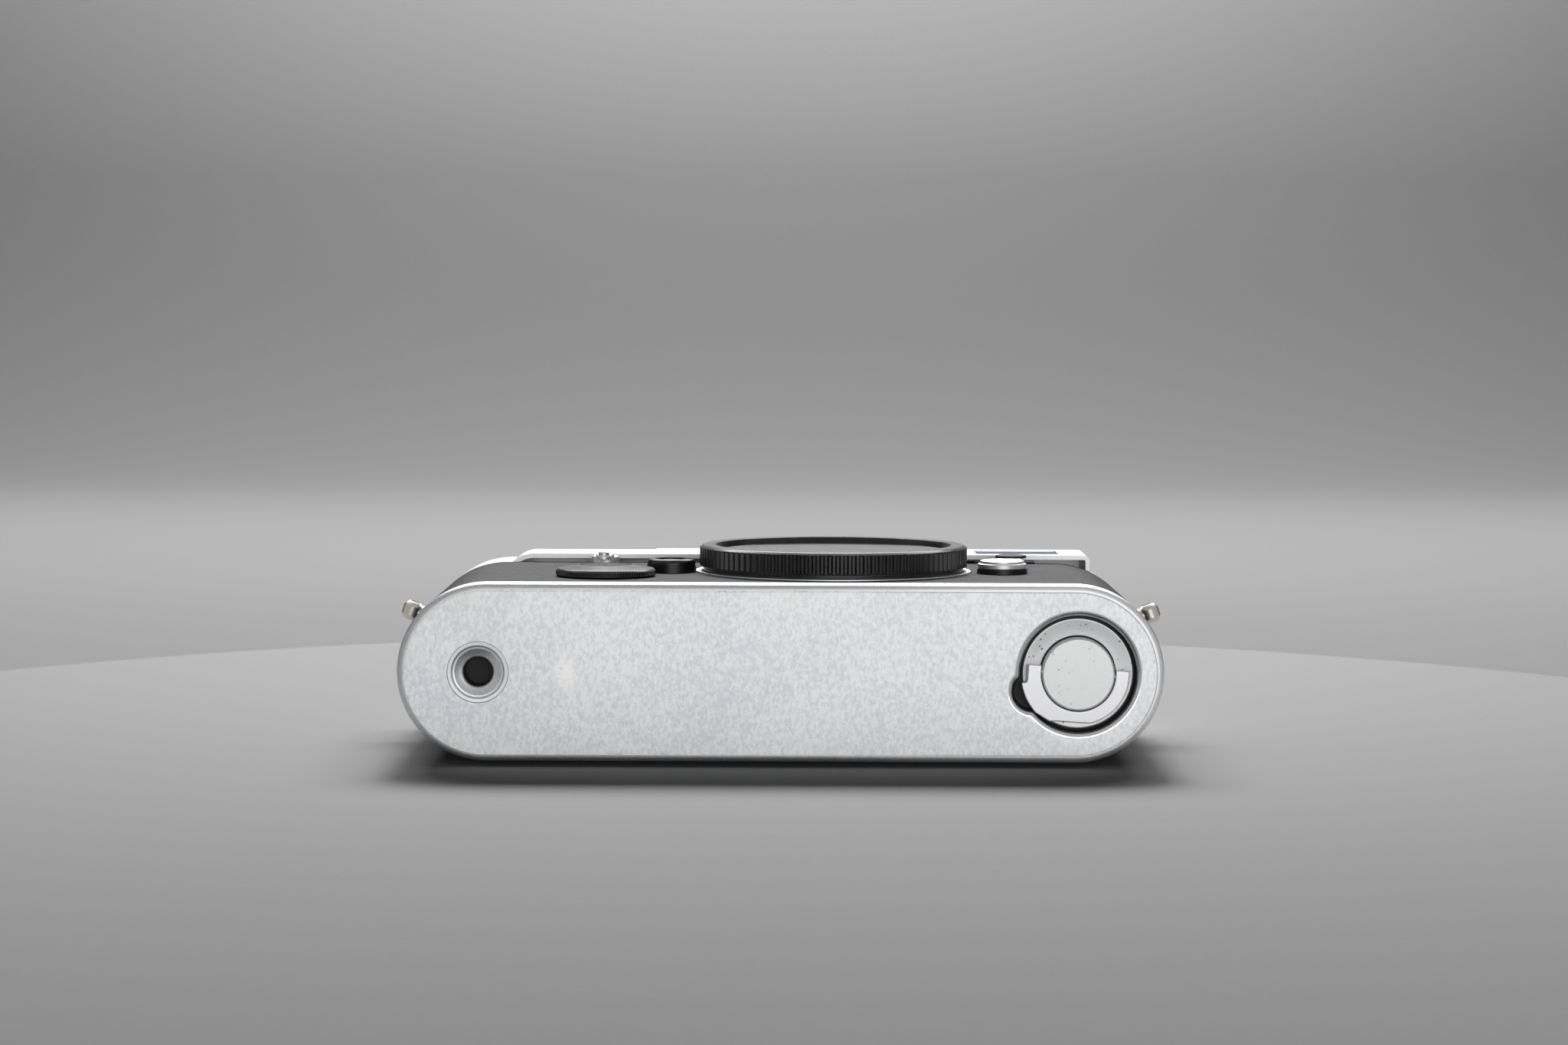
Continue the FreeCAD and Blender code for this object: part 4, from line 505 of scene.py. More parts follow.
class Finishes:
    """Every finish of the camera, built once."""

    def __init__(self) -> None:
        """Builds the materials."""
        self.chrome = SatinChrome().material()
        self.plate = BasePlateChrome().material()
        self.bright = SatinChrome("bright_chrome", (0.88, 0.88, 0.88), (0.76, 0.76, 0.77), 0.95,
                                  0.24).material()
        self.handle = SatinChrome("handle_chrome", (0.97, 0.97, 0.985), (0.90, 0.905, 0.92), 0.86,
                                  0.42).material()
        self.dish = SatinChrome("dish_chrome", (0.98, 0.98, 0.99), (0.85, 0.86, 0.87), 0.7, 0.45,
                                specks=0.85).material()
        self.button = SatinChrome("button_chrome", (0.86, 0.865, 0.87), (0.74, 0.745, 0.75), 0.9, 0.42,
                                  specks=0.35).material()
        self.leatherette = Leatherette().material()
        self.plastic = BlackPart(worn_and_highlit_edge=(0.24, 0.24, 0.25), gloss=0.28, edge_wear_and_highlight=0.95).material()
        self.cap_face = BlackPart("cap_face", (0.026, 0.027, 0.03), (0.13, 0.13, 0.13), 0.52,
                                  2600.0).material()
        self.enamel = BlackPart("black_enamel", (0.008, 0.008, 0.009), (0.34, 0.32, 0.28), 0.28, 5200.0, 0.0,
                                0.9).material()
        self.casting = BlackPart("die_cast", (0.022, 0.022, 0.023), (0.20, 0.20, 0.20), 0.55,
                                 3000.0).material()
        self.steel = TurnedSteel().material()
        self.nickel = TurnedSteel("nickel", (0.88, 0.84, 0.78), 0.32).material()
        self.glass = Glass().material()
        self.frosted = Glass("frosted_glass", (0.30, 0.31, 0.31), 0.45).material()
        self.cloth = ShutterCloth().material()
        self.figures = Paint("white_figures", (0.78, 0.78, 0.76)).material()
        self.black_figures = Paint("black_figures", (0.02, 0.02, 0.02)).material()
        self.red = Paint("red_mark", (0.55, 0.02, 0.015)).material()

    def dress(self, node: str, material: bpy.types.Material) -> None:
        """Gives a frame node one finish in all its slots."""
        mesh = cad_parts[node].data
        mesh.materials.clear()
        mesh.materials.append(material)


# ---------------------------------------------------------------- mesh tools


def finish_mesh(
    name: str, bm: bmesh.types.BMesh, material: bpy.types.Material, body: str, sharp: float = 34.0,
    weighted: bool = True
) -> bpy.types.Object:
    """Turns a bmesh into a piece that rides on a body.

    Args:
        name: The piece's name.
        bm: The mesh in the frame's axes, in metres.
        material: Its finish.
        body: The body that it rides on.
        sharp: Corners over this angle in degrees stay sharp.
        weighted: Whether large faces stay flat-shaded beside rounded edges.

    Returns:
        The piece.
    """
    bmesh.ops.remove_doubles(bm, verts=bm.verts[:], dist=MERGE * MM)
    bmesh.ops.recalc_face_normals(bm, faces=bm.faces[:])
    mesh = bpy.data.meshes.new(name)
    bm.to_mesh(mesh)
    bm.free()
    mesh.polygons.foreach_set("use_smooth", [True] * len(mesh.polygons))
    mesh.set_sharp_from_angle(angle=math.radians(sharp))
    mesh.materials.append(material)
    piece = bpy.data.objects.new(name, mesh)
    bpy.context.scene.collection.objects.link(piece)
    if weighted:
        piece.modifiers.new("shading", "WEIGHTED_NORMAL").keep_sharp = True
    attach(piece, body)
    LOG.info("%s: %d faces on %s", name, len(mesh.polygons), body)
    return piece


def stand(bm: bmesh.types.BMesh, facing: Facing, at: tuple, turn: float = 0.0,
          verts: list | None = None) -> None:
    """Moves a shape made around the Z axis, in millimetres, to its place in the frame.

    Args:
        bm: The mesh.
        facing: The side that its Z axis points out of.
        at: Where its origin goes, in millimetres.
        turn: How far it turns about its own Z axis first, in degrees.
        verts: The vertices that move, or all of them.
    """
    matrix = Matrix.Scale(MM, 4) @ Matrix.Translation(at) @ facing.value.to_4x4()
    matrix = matrix @ Matrix.Rotation(math.radians(turn), 4, "Z")
    bmesh.ops.transform(bm, matrix=matrix, verts=verts or bm.verts[:])


def lathe(bm: bmesh.types.BMesh, profile: list, steps: int) -> list:
    """Spins a profile round the Z axis.

    Args:
        bm: The mesh that it is added to.
        profile: (radius, height) corners in order.
        steps: Faces round the turn.

    Returns:
        The new vertices.
    """
    before = set(bm.verts)
    points = [bmesh.ops.create_vert(bm, co=(radius, 0, height))["vert"][0] for radius, height in profile]
    edges = [bm.edges.new(pair) for pair in zip(points, points[1:])]
    chain = dict.fromkeys(vert for edge in edges for vert in edge.verts)
    bmesh.ops.spin(bm, geom=[*chain, *edges], cent=(0, 0, 0), axis=(0, 0, 1), dvec=(0, 0, 0),
                   angle=2 * math.pi, steps=steps, use_merge=True, use_duplicate=False)
    fresh = [vert for vert in bm.verts if vert not in before]
    bmesh.ops.remove_doubles(bm, verts=fresh, dist=POLE_MERGE)
    return [vert for vert in bm.verts if vert not in before]


def knurl(bm: bmesh.types.BMesh, verts: list, ridges: int, band: tuple, radius: float, depth: float) -> None:
    """Presses grooves into a lathe's rim by drawing columns of it inwards.

    Args:
        bm: The mesh.
        verts: The lathe's vertices.
        ridges: Ridges round the turn, each RIDGE_COLUMNS columns wide with its groove.
        band: The lowest and highest height of the grooves.
        radius: The rim's radius there, so that only the rim sinks.
        depth: How far the columns sink.
    """
    steps = ridges * RIDGE_COLUMNS
    chosen = []
    for vert in verts:
        if band[0] <= vert.co.z <= band[1] and vert.co.xy.length > radius - depth:
            column = round(math.atan2(vert.co.y, vert.co.x) / (2 * math.pi) * steps) % RIDGE_COLUMNS
            if column in SUNK_COLUMNS:
                chosen.append(vert)
    share = (radius - depth) / radius
    bmesh.ops.scale(bm, vec=(share, share, 1), verts=chosen)


@dataclass(frozen=True)
class Knurling:
    """The grooves round a turned piece's rim."""

    ridges: int
    band: tuple
    radius: float
    depth: float


@dataclass
class Turned:
    """A piece spun from one profile, in place on its body."""

    name: str
    profile: list
    facing: Facing
    at: tuple
    material: bpy.types.Material
    body: str
    slot: str = "satin_chrome"
    steps: int = 96
    turn: float = 0.0
    sharp: float = 34.0
    knurling: Knurling | None = None

    def build(self, node: str = "") -> bpy.types.Object:
        """Makes the piece.

        Args:
            node: The frame node that it stands for, if any.

        Returns:
            The piece.
        """
        bm = bmesh.new()
        if self.knurling is None:
            lathe(bm, self.profile, self.steps)
        else:
            cut = self.knurling
            verts = lathe(bm, self.profile, cut.ridges * RIDGE_COLUMNS)
            knurl(bm, verts, cut.ridges, cut.band, cut.radius, cut.depth)
        stand(bm, self.facing, self.at, self.turn)
        piece = finish_mesh(self.name, bm, self.material, self.body, self.sharp)
        if node:
            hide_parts(node)
        return piece


class Outline:
    """A closed outline on the XY plane, drawn from vertex to vertex by lines and arcs."""

    def __init__(self, bm: bmesh.types.BMesh, x: float, y: float, z: float = 0.0) -> None:
        """Puts down the first vertex."""
        self.bm = bm
        self.first = self.last = bmesh.ops.create_vert(bm, co=(x, y, z))["vert"][0]
        self.edges: list = []

    def line(self, x: float, y: float) -> "Outline":
        """Draws a straight line to a point."""
        vert = bmesh.ops.extrude_vert_indiv(self.bm, verts=[self.last])["verts"][0]
        vert.co.xy = (x, y)
        self.edges.append(vert.link_edges[0])
        self.last = vert
        return self

    def arc(self, x: float, y: float, degrees: float, steps: int) -> "Outline":
        """Draws an arc round a centre, anticlockwise if degrees is positive."""
        known = set(self.bm.edges)
        centre = (x, y, self.last.co.z)
        result = bmesh.ops.spin(self.bm, geom=[self.last], cent=centre, axis=(0, 0, 1), dvec=(0, 0, 0),
                                angle=math.radians(degrees), steps=steps, use_merge=False,
                                use_duplicate=False)
        self.edges += [edge for edge in self.bm.edges if edge not in known]
        self.last = [item for item in result["geom_last"] if isinstance(item, bmesh.types.BMVert)][0]
        return self

    def face(self) -> bmesh.types.BMFace:
        """Closes the outline and fills it with one face that looks up."""
        if (self.last.co - self.first.co).length > OUTLINE_MERGE:
            self.edges.append(self.bm.edges.new((self.last, self.first)))
        verts = list(dict.fromkeys(vert for edge in self.edges for vert in edge.verts))
        bmesh.ops.remove_doubles(self.bm, verts=verts, dist=OUTLINE_MERGE)
        edges = [edge for edge in self.edges if edge.is_valid]
        made = bmesh.ops.contextual_create(self.bm, geom=edges)["faces"][0]
        made.normal_update()
        if made.normal.z < 0:
            bmesh.ops.reverse_faces(self.bm, faces=[made])
        return made


def raise_face(bm: bmesh.types.BMesh, face: bmesh.types.BMFace, height: float,
               keep: bool = True) -> bmesh.types.BMFace:
    """Extrudes one face along Z and returns the face at the far end.

    Args:
        bm: The mesh.
        face: The face.
        height: How far it moves.
        keep: Whether the near end stays closed.

    Returns:
        The moved face.
    """
    made = bmesh.ops.extrude_face_region(bm, geom=[face], use_keep_orig=True)["geom"]
    if not keep:
        bmesh.ops.delete(bm, geom=[face], context="FACES_ONLY")
    verts = [item for item in made if isinstance(item, bmesh.types.BMVert)]
    bmesh.ops.translate(bm, vec=(0, 0, height), verts=verts)
    return [item for item in made if isinstance(item, bmesh.types.BMFace)][0]


def step_in(bm: bmesh.types.BMesh, face: bmesh.types.BMFace, width: float, depth: float) -> None:
    """Insets one face by a width and moves it by a depth along its normal."""
    bmesh.ops.inset_region(bm, faces=[face], thickness=width, depth=depth, use_even_offset=True)


def round_over(bm: bmesh.types.BMesh, face: bmesh.types.BMFace, radius: float, segments: int,
               convex: bool = True) -> None:
    """Rounds the edge round a face by a row of insets along a quarter circle.

    Args:
        bm: The mesh.
        face: The face, at the level where the rounding starts.
        radius: The rounding's radius.
        segments: How many insets.
        convex: Whether the rounding bulges outwards, or is a dip that starts level.
    """
    for i in range(segments):
        a, b = (math.pi / 2 * k / segments for k in (i, i + 1))
        if convex:
            step_in(bm, face, radius * (math.cos(a) - math.cos(b)), radius * (math.sin(b) - math.sin(a)))
        else:
            step_in(bm, face, radius * (math.sin(b) - math.sin(a)), -radius * (math.cos(a) - math.cos(b)))


def plate_from(bm: bmesh.types.BMesh, face: bmesh.types.BMFace, thickness: float, ease: float,
               segments: int = 3) -> None:
    """Gives a flat outline a thickness upwards with a rounded top edge."""
    top = raise_face(bm, face, thickness - ease)
    round_over(bm, top, ease, segments)


def middle(node: str) -> Vector:
    """The middle of a frame node's box at rest, in millimetres."""
    low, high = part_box(node)
    return (Vector(low) + Vector(high)) / 2 / MM


def low_mm(node: str) -> Vector:
    """The lowest corner of a frame node's box, in millimetres."""
    return Vector(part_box(node)[0]) / MM


def high_mm(node: str) -> Vector:
    """The highest corner of a frame node's box, in millimetres."""
    return Vector(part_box(node)[1]) / MM


# ---------------------------------------------------------------- sub-assemblies


@dataclass
class BasePlate:
    """The removable base plate with its tripod bush."""

    skin: float = 1.0
    rim_round: float = 1.1
    cup_radius: float = 10.55
    cup_depth: float = 2.9
    lip: float = 0.95
    notch_radius: float = 3.5
    notch_reach: float = 12.4
    notch_angle: float = 201.0
    painted_shade_from: float = 0.75
    groove: float = 0.07
    bush_radius: float = 5.55
    rim_step: float = 0.16
    face_margin: float = 0.5
    floor_round: float = 0.35
    hair: float = 0.0005

    def cup_outline(self, bm: bmesh.types.BMesh, centre: Vector) -> bmesh.types.BMFace:
        """Draws the cup's mouth: a circle with the finger notch's smaller circle.

        Args:
            bm: The mesh, on the plate's plane.
            centre: The lock's centre on that plane.

        Returns:
            The mouth as one face.
        """
        big, small = self.cup_radius + self.lip, self.notch_radius + self.lip
        reach = self.notch_reach - self.notch_radius
        slope = math.radians(self.notch_angle)
        far = Vector((reach * math.cos(slope), reach * math.sin(slope)))
        at_big = math.acos((reach**2 + big**2 - small**2) / (2 * reach * big))
        at_small = math.pi - math.acos((reach**2 + small**2 - big**2) / (2 * reach * small))
        start = slope + at_big
        outline = Outline(bm, centre.x + big * math.cos(start), centre.y + big * math.sin(start), centre.z)
        outline.arc(centre.x, centre.y, math.degrees(2 * math.pi - 2 * at_big), 72)
        outline.arc(centre.x + far.x, centre.y + far.y, math.degrees(2 * at_small), 14)
        return outline.face()

    def build(self, finishes: Finishes) -> None:
        """Makes the plate and the bush and dresses the catch."""
        self.build_plate(finishes)
        self.build_bush(finishes)
        finishes.dress("base_hook", finishes.steel)

    def build_plate(self, finishes: Finishes) -> None:
        """Makes the plate's tray: rim, border line, cup and the bush's hole."""
        low, high = low_mm("base_plate"), high_mm("base_plate")
        radius = (high.z - low.z) / 2
        straight = high.x - radius
        depth = high.y - low.y
        bm = bmesh.new()
        rim = Outline(bm, straight, -radius)
        rim.arc(straight, 0, 180, 56).line(-straight, radius).arc(-straight, 0, 180, 56)
        face = raise_face(bm, rim.face(), depth - self.rim_round, keep=False)
        round_over(bm, face, self.rim_round, 7)
        step_in(bm, face, self.rim_step, 0)
        for rise in (-self.groove, 0, self.groove):
            step_in(bm, face, self.groove, rise)
        step_in(bm, face, self.face_margin, 0)
        lock = middle("lock_button")
        bush = middle("tripod_bush")
        centre_z = (high.z + low.z) / 2
        cup_centre = Vector((lock.x, lock.z - centre_z, depth))
        cup = self.cup_outline(bm, cup_centre)
        hole = Outline(bm, bush.x + self.bush_radius, bush.z - centre_z, depth)
        hole.arc(bush.x, bush.z - centre_z, 360, 64)
        hole_face = hole.face()
        loops = [edge for item in (face, cup, hole_face) for edge in item.edges]
        bmesh.ops.delete(bm, geom=[face], context="FACES_ONLY")
        bmesh.ops.triangle_fill(bm, edges=loops, use_beauty=True, normal=(0, 0, 1))
        round_over(bm, cup, self.lip, 6, convex=False)
        step_in(bm, cup, self.hair, -(self.cup_depth - self.lip - self.floor_round))
        step_in(bm, cup, self.floor_round, -self.floor_round)
        step_in(bm, hole_face, self.hair, -self.skin * 0.8)
        bmesh.ops.delete(bm, geom=[hole_face], context="FACES_ONLY")
        stand(bm, Facing.BASE, (0, low.y + depth, centre_z))
        plate = finish_mesh("base_plate_skin", bm, finishes.plate, "base", 28.0, False)
        solid = plate.modifiers.new("wall", "SOLIDIFY")
        solid.thickness = self.skin * MM
        solid.offset = -1.0
        weighted = plate.modifiers.new("shading", "WEIGHTED_NORMAL")
        weighted.keep_sharp = True
        self.dress_cup(plate, finishes, lock, low.y)
        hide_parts("base_plate")

    def dress_cup(self, plate: bpy.types.Object, finishes: Finishes, lock: Vector, face_y: float) -> None:
        """Gives the cup a bright lip and an inside painted black as shade.

        Args:
            plate: The plate.
            finishes: The finishes.
            lock: The lock's centre.
            face_y: The level of the plate's face.
        """
        plate.data.materials.append(finishes.bright)
        plate.data.materials.append(finishes.casting)
        axis = Vector((lock.x, lock.z))
        reach = self.notch_reach + self.lip
        for polygon in plate.data.polygons:
            centre = polygon.center / MM
            depth = centre.y - face_y
            near = (centre.xz - axis).length < reach + 0.1
            if near and depth > 0.004 and axis.x - centre.x > -self.cup_radius - self.lip:
                # the deeper faces take the black die-cast finish as painted shade, the shallower ones the
                # glossier bright chrome
                polygon.material_index = 2 if depth > self.painted_shade_from else 1

    def build_bush(self, finishes: Finishes) -> None:
        """Makes the tripod bush with its stepped mouth and its thread."""
        bush = middle("tripod_bush")
        face_y = low_mm("tripod_bush").y
        depth = high_mm("tripod_bush").y - face_y
        thread, pitch = 2.55, 1.27
        profile = [(0, -depth + 0.8)]
        turns = int((depth - 2.2) / pitch)
        for i in range(turns):
            height = -depth + 0.9 + i * pitch
            profile += [(thread, height), (thread + 0.45, height + pitch / 2)]
        profile += [(thread, -1.5), (2.75, -1.3), (2.95, -1.05), (3.15, -0.98), (4.0, -0.62), (4.2, -0.46),
                    (4.55, -0.40), (4.72, -0.12), (4.86, -0.02), (5.44, 0.0),
                    (self.bush_radius - 0.03, -0.08),
                    (self.bush_radius - 0.03, -1.2), (6.6, -1.2), (6.6, -2.2), (self.bush_radius, -2.2),
                    (self.bush_radius, -depth), (0, -depth)]
        piece = Turned("tripod_bush_turned", profile, Facing.BASE, (bush.x, face_y, bush.z), finishes.chrome,
                       "base",
                       steps=72, sharp=24.0).build("tripod_bush")
        piece.data.materials.append(finishes.casting)
        axis = Vector((bush.x, bush.z))
        for polygon in piece.data.polygons:
            centre = polygon.center / MM
            # the thread deep in the hole takes the black die-cast finish: a darkened thread, and painted
            # shade deep in the hole
            if (centre.xz - axis).length < thread + 0.46 and centre.y > face_y + 1.25:
                polygon.material_index = 1


@dataclass
class BaseLock:
    """The round lock in the base plate: button, folding handle, dish and cam."""

    turn: float = 3.8
    inner: float = 6.72
    outer: float = 9.1
    tab: float = 10.3
    top: float = 1.17
    tab_top: float = -2.15
    flat: float = 8.7
    thickness: float = 1.3
    button_radius: float = 6.55

    def build(self, finishes: Finishes) -> None:
        """Makes the lock's pieces and dresses its pins and cam."""
        self.build_handle(finishes)
        self.build_button(finishes)
        self.build_dish(finishes)
        for node in ("lock_pins", "lock_cam"):
            finishes.dress(node, finishes.steel)

    def build_handle(self, finishes: Finishes) -> None:
        """Makes the half-ring handle with its legs and finger tab."""
        centre = middle("lock_button")
        face_y = low_mm("lock_handle").y + self.thickness
        bm = bmesh.new()
        start = math.degrees(math.asin(self.tab_top / self.tab))
        tab_end, flat_end = 226.0, 282.0
        outline = Outline(bm, -self.outer, self.top)
        outline.line(-self.outer, self.tab_top + 0.35).line(-self.outer - 0.3, self.tab_top)
        outline.line(-self.tab * math.cos(math.radians(start)) + 0.15, self.tab_top)
        outline.line(-self.tab * math.cos(math.radians(start)), self.tab_top - 0.3)
        outline.arc(0, 0, tab_end - 180 + start - 2, 10)
        outline.line(-4.6, -self.flat - 0.12).line(-3.4, -self.flat)
        outline.line(self.flat * math.cos(math.radians(flat_end)), -self.flat)
        begin = math.degrees(math.asin(self.flat / self.outer))
        outline.line(self.outer * math.cos(math.radians(begin)), -self.flat)
        outline.arc(0, 0, begin, 22).line(self.outer, self.top).line(self.inner, self.top).line(self.inner, 0)
        outline.arc(0, 0, -180, 40).line(-self.inner, self.top)
        plate_from(bm, outline.face(), self.thickness, 0.22, 3)
        stand(bm, Facing.BASE, (centre.x, face_y, centre.z), -self.turn)
        piece = finish_mesh("lock_handle_plate", bm, finishes.handle, "lock_handle", 20.0)
        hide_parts("lock_handle")

    def build_button(self, finishes: Finishes) -> None:
        """Makes the button with its turned face and spindle."""
        centre = middle("lock_button")
        low, high = low_mm("lock_button").y, high_mm("lock_button").y
        profile = [(0, 0), (self.button_radius - 0.28, 0), (self.button_radius, -0.28),
                   (self.button_radius, -2.8),
                   (3.0, -2.8), (3.0, low - high), (0, low - high)]
        Turned("lock_button_turned", profile, Facing.BASE, (centre.x, low, centre.z), finishes.button, "lock",
               turn=-self.turn).build("lock_button")

    def build_dish(self, finishes: Finishes) -> None:
        """Makes the dished washer under the handle."""
        centre = middle("lock_dish")
        low, high = low_mm("lock_dish").y, high_mm("lock_dish").y
        depth = high - low
        profile = [(6.88, -depth), (6.88, -depth * 0.55), (8.6, -depth * 0.45), (9.6, 0), (9.9, -0.1),
                   (9.9, -depth),
                   (6.88, -depth)]
        Turned("lock_dish_pressed", profile, Facing.BASE, (centre.x, low, centre.z), finishes.dish,
               "base").build("lock_dish")


@dataclass
class MountAndCap:
    """The lens mount and the knurled cap on it."""

    ridges: int = 108
    radius: float = 25.1
    knurl_depth: float = 0.5
    rim: float = 24.6
    recess: float = 21.8
    recess_depth: float = 1.4
    flange: float = 24.4

    def build(self, finishes: Finishes) -> None:
        """Makes the cap and dresses the mount."""
        self.build_cap(finishes)
        finishes.dress("mount_ring", finishes.handle)
        finishes.dress("mount_screws", finishes.steel)

    def build_cap(self, finishes: Finishes) -> None:
        """Makes the cap: knurled rim, sunk face and hollow plug."""
        low, high = low_mm("body_cap").z, high_mm("body_cap").z
        centre = middle("body_cap")
        height = high - low
        top, band_low, foot = 0.0, -4.0, -4.8
        band_top = -0.55
        plug = 21.7
        profile = [
            (0, -self.recess_depth), (self.recess - 1.2, -self.recess_depth),
            (self.recess - 0.3, -self.recess_depth + 0.25),
            (self.recess, -0.45), (self.recess + 0.35, -0.04), (self.recess + 0.6, top),
            (self.rim - 0.35, top),
            (self.rim, -0.16), (self.radius, band_top), (self.radius, band_top - 0.12),
            (self.radius, band_low + 0.12),
            (self.radius, band_low), (self.flange + 0.1, band_low - 0.12), (self.flange, band_low - 0.2),
            (self.flange, foot),
            (plug, foot), (plug, -height), (plug - 1.2, -height), (plug - 1.2, -self.recess_depth - 1.5),
            (0, -self.recess_depth - 1.5),
        ]
        cut = Knurling(self.ridges, (band_low + 0.05, band_top - 0.05), self.radius, self.knurl_depth)
        piece = Turned("body_cap_knurled", profile, Facing.FRONT, (centre.x, centre.y, high),
                       finishes.plastic, "cap",
                       "black_plastic", sharp=30.0, knurling=cut).build("body_cap")
        piece.data.materials.append(finishes.cap_face)
        floor = (high - self.recess_depth) * MM
        inside = (self.recess - 0.6) * MM
        axis = Vector((centre.x, centre.y)) * MM
        for polygon in piece.data.polygons:
            if abs(polygon.center.z - floor) < 0.3 * MM and (polygon.center.xy - axis).length < inside:
                polygon.material_index = 1


@dataclass
class BatteryWell:
    """The battery cover with its leatherette disc, over the holder and cells."""

    ridges: int = 100
    radius: float = 9.2
    depth: float = 0.3

    def build(self, finishes: Finishes) -> None:
        """Makes the cover and its disc and dresses what is under them."""
        low, high = low_mm("battery_cover"), high_mm("battery_cover")
        centre = middle("battery_cover")
        height = high.z - low.z
        profile = [(0, -0.3), (4.83, -0.3), (4.85, 0), (5.15, 0), (6.5, -0.58), (8.6, -0.6), (8.85, -0.68),
                   (9.02, -0.85),
                   (self.radius, -1.0), (self.radius, -1.06), (self.radius, -height + 0.3),
                   (self.radius, -height + 0.24),
                   (8.9, -height), (0, -height)]
        cut = Knurling(self.ridges, (-height + 0.27, -1.03), self.radius, self.depth)
        place = (centre.x, centre.y, high.z)
        Turned("battery_cover_knurled", profile, Facing.FRONT, place, finishes.enamel, "battery_cover",
               "black_enamel",
               sharp=30.0, knurling=cut).build("battery_cover")
        inlay = [(0, 0), (4.3, -0.01), (4.72, -0.1), (4.82, -0.29), (0, -0.29)]
        Turned("battery_cover_inlay", inlay, Facing.FRONT, place, finishes.leatherette, "battery_cover",
               "leatherette",
               64).build("battery_cover_disc")
        finishes.dress("battery_holder", finishes.plastic)
        finishes.dress("batteries", finishes.steel)


@dataclass
class FrontControls:
    """The levers and the lens release on the camera's front."""

    frame_arm: float = 15.0
    frame_lean: float = 9.5
    button_head: float = 1.2
    mark_shift: float = 0.6

    def build(self, finishes: Finishes) -> None:
        """Makes the levers and dresses the collar and button."""
        self.build_frame_lever(finishes)
        self.build_rewind_release(finishes)
        self.build_lens_release(finishes)

    def build_frame_lever(self, finishes: Finishes) -> None:
        """Makes the stepped hub, arm and pad of the frame selector."""
        base = middle("frame_lever_base")
        top = high_mm("frame_lever").z
        bottom = low_mm("frame_lever").z
        bm = bmesh.new()
        lathe(bm, [(0, -0.05), (1.2, -0.05), (1.35, 0), (3.75, 0), (4.07, -0.16), (4.07, -0.55),
                   (4.2, -0.62), (4.4, -0.62),
                   (4.55, -0.75), (4.55, -1.5), (0, -1.5)], 72)
        lathe(bm, [(0, -1.5), (1.2, -1.5), (1.2, bottom - top), (0, bottom - top)], 24)
        before = set(bm.verts)
        outline = Outline(bm, 2.6, 0, -1.35)
        outline.line(2.2, self.frame_arm).arc(0, self.frame_arm, 180, 16).line(-2.6, 0)
        plate_from(bm, outline.face(), 0.8, 0.2)
        arm = [vert for vert in bm.verts if vert not in before]
        bmesh.ops.rotate(bm, cent=(0, 0, 0), matrix=Matrix.Rotation(-math.radians(self.frame_lean), 3, "Z"),
                         verts=arm)
        stand(bm, Facing.FRONT, (base.x, base.y, top))
        lever = finish_mesh("frame_lever_stepped", bm, finishes.handle, "frame_selector")
        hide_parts("frame_lever")
        pad = middle("frame_lever_tip")
        face = high_mm("frame_lever_tip").z
        depth = face - low_mm("frame_lever_tip").z
        profile = [(0, -0.04), (2.2, -0.04), (2.5, 0), (2.85, -0.08), (2.98, -0.24), (2.98, -depth),
                   (0, -depth)]
        Turned("frame_lever_pad", profile, Facing.FRONT, (pad.x, pad.y, face), finishes.plastic,
               "frame_selector",
               "black_plastic", 48).build("frame_lever_tip")
        finishes.dress("frame_lever_base", finishes.enamel)

    def build_rewind_release(self, finishes: Finishes) -> None:
        """Makes the rewind release lever: hub, tapered arm and finger tab."""
        low, high = low_mm("rewind_release_lever"), high_mm("rewind_release_lever")
        hub = Vector((middle("rewind_release_lever").x, high.y - 2.7, 0))
        bm = bmesh.new()
        lathe(bm, [(0, -1.2), (1.9, -1.2), (2.5, -1.45), (2.7, -1.75), (2.7, -3.2), (1.2, -3.2),
                   (1.2, low.z - high.z),
                   (0, low.z - high.z)], 48)
        outline = Outline(bm, 1.85, 0, -1.65)
        outline.arc(0, 0, 180, 16).line(-1.2, -7.0).arc(0, -7.0, 180, 14)
        plate_from(bm, outline.face(), 0.75, 0.22)
        before = set(bm.verts)
        tab = lathe(bm, [(0, 0), (0.7, 0), (1.05, -0.3), (1.05, -1.2), (0, -1.2)], 24)
        bmesh.ops.translate(bm, vec=(0, -7.0, 0), verts=[vert for vert in tab if vert not in before])
        stand(bm, Facing.FRONT, (hub.x, hub.y, high.z))
        lever = finish_mesh("rewind_release_arm", bm, finishes.handle, "rewind_release")
        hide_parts("rewind_release_lever")

    def build_lens_release(self, finishes: Finishes) -> None:
        """Makes the button with its red mark inside the collar."""
        low, high = low_mm("lens_release_button"), high_mm("lens_release_button")
        centre = middle("lens_release_button")
        foot = low.z - high.z
        profile = [(0, -0.22), (1.5, -0.14), (2.35, 0), (2.8, -0.35), (2.8, -self.button_head),
                   (1.2, -self.button_head),
                   (1.2, foot), (0, foot)]
        Turned("lens_release_dished", profile, Facing.FRONT, (centre.x, centre.y, high.z), finishes.cap_face,
               "lens_button", steps=56).build("lens_release_button")
        mark = [(0, -0.02), (1.0, -0.03), (1.25, -0.16), (0, -0.26)]
        Turned("lens_release_mark", mark, Facing.FRONT, (centre.x + self.mark_shift, centre.y, high.z),
               finishes.red,
               "lens_button", "black_enamel", 28).build()
        finishes.dress("lens_release_collar", finishes.enamel)


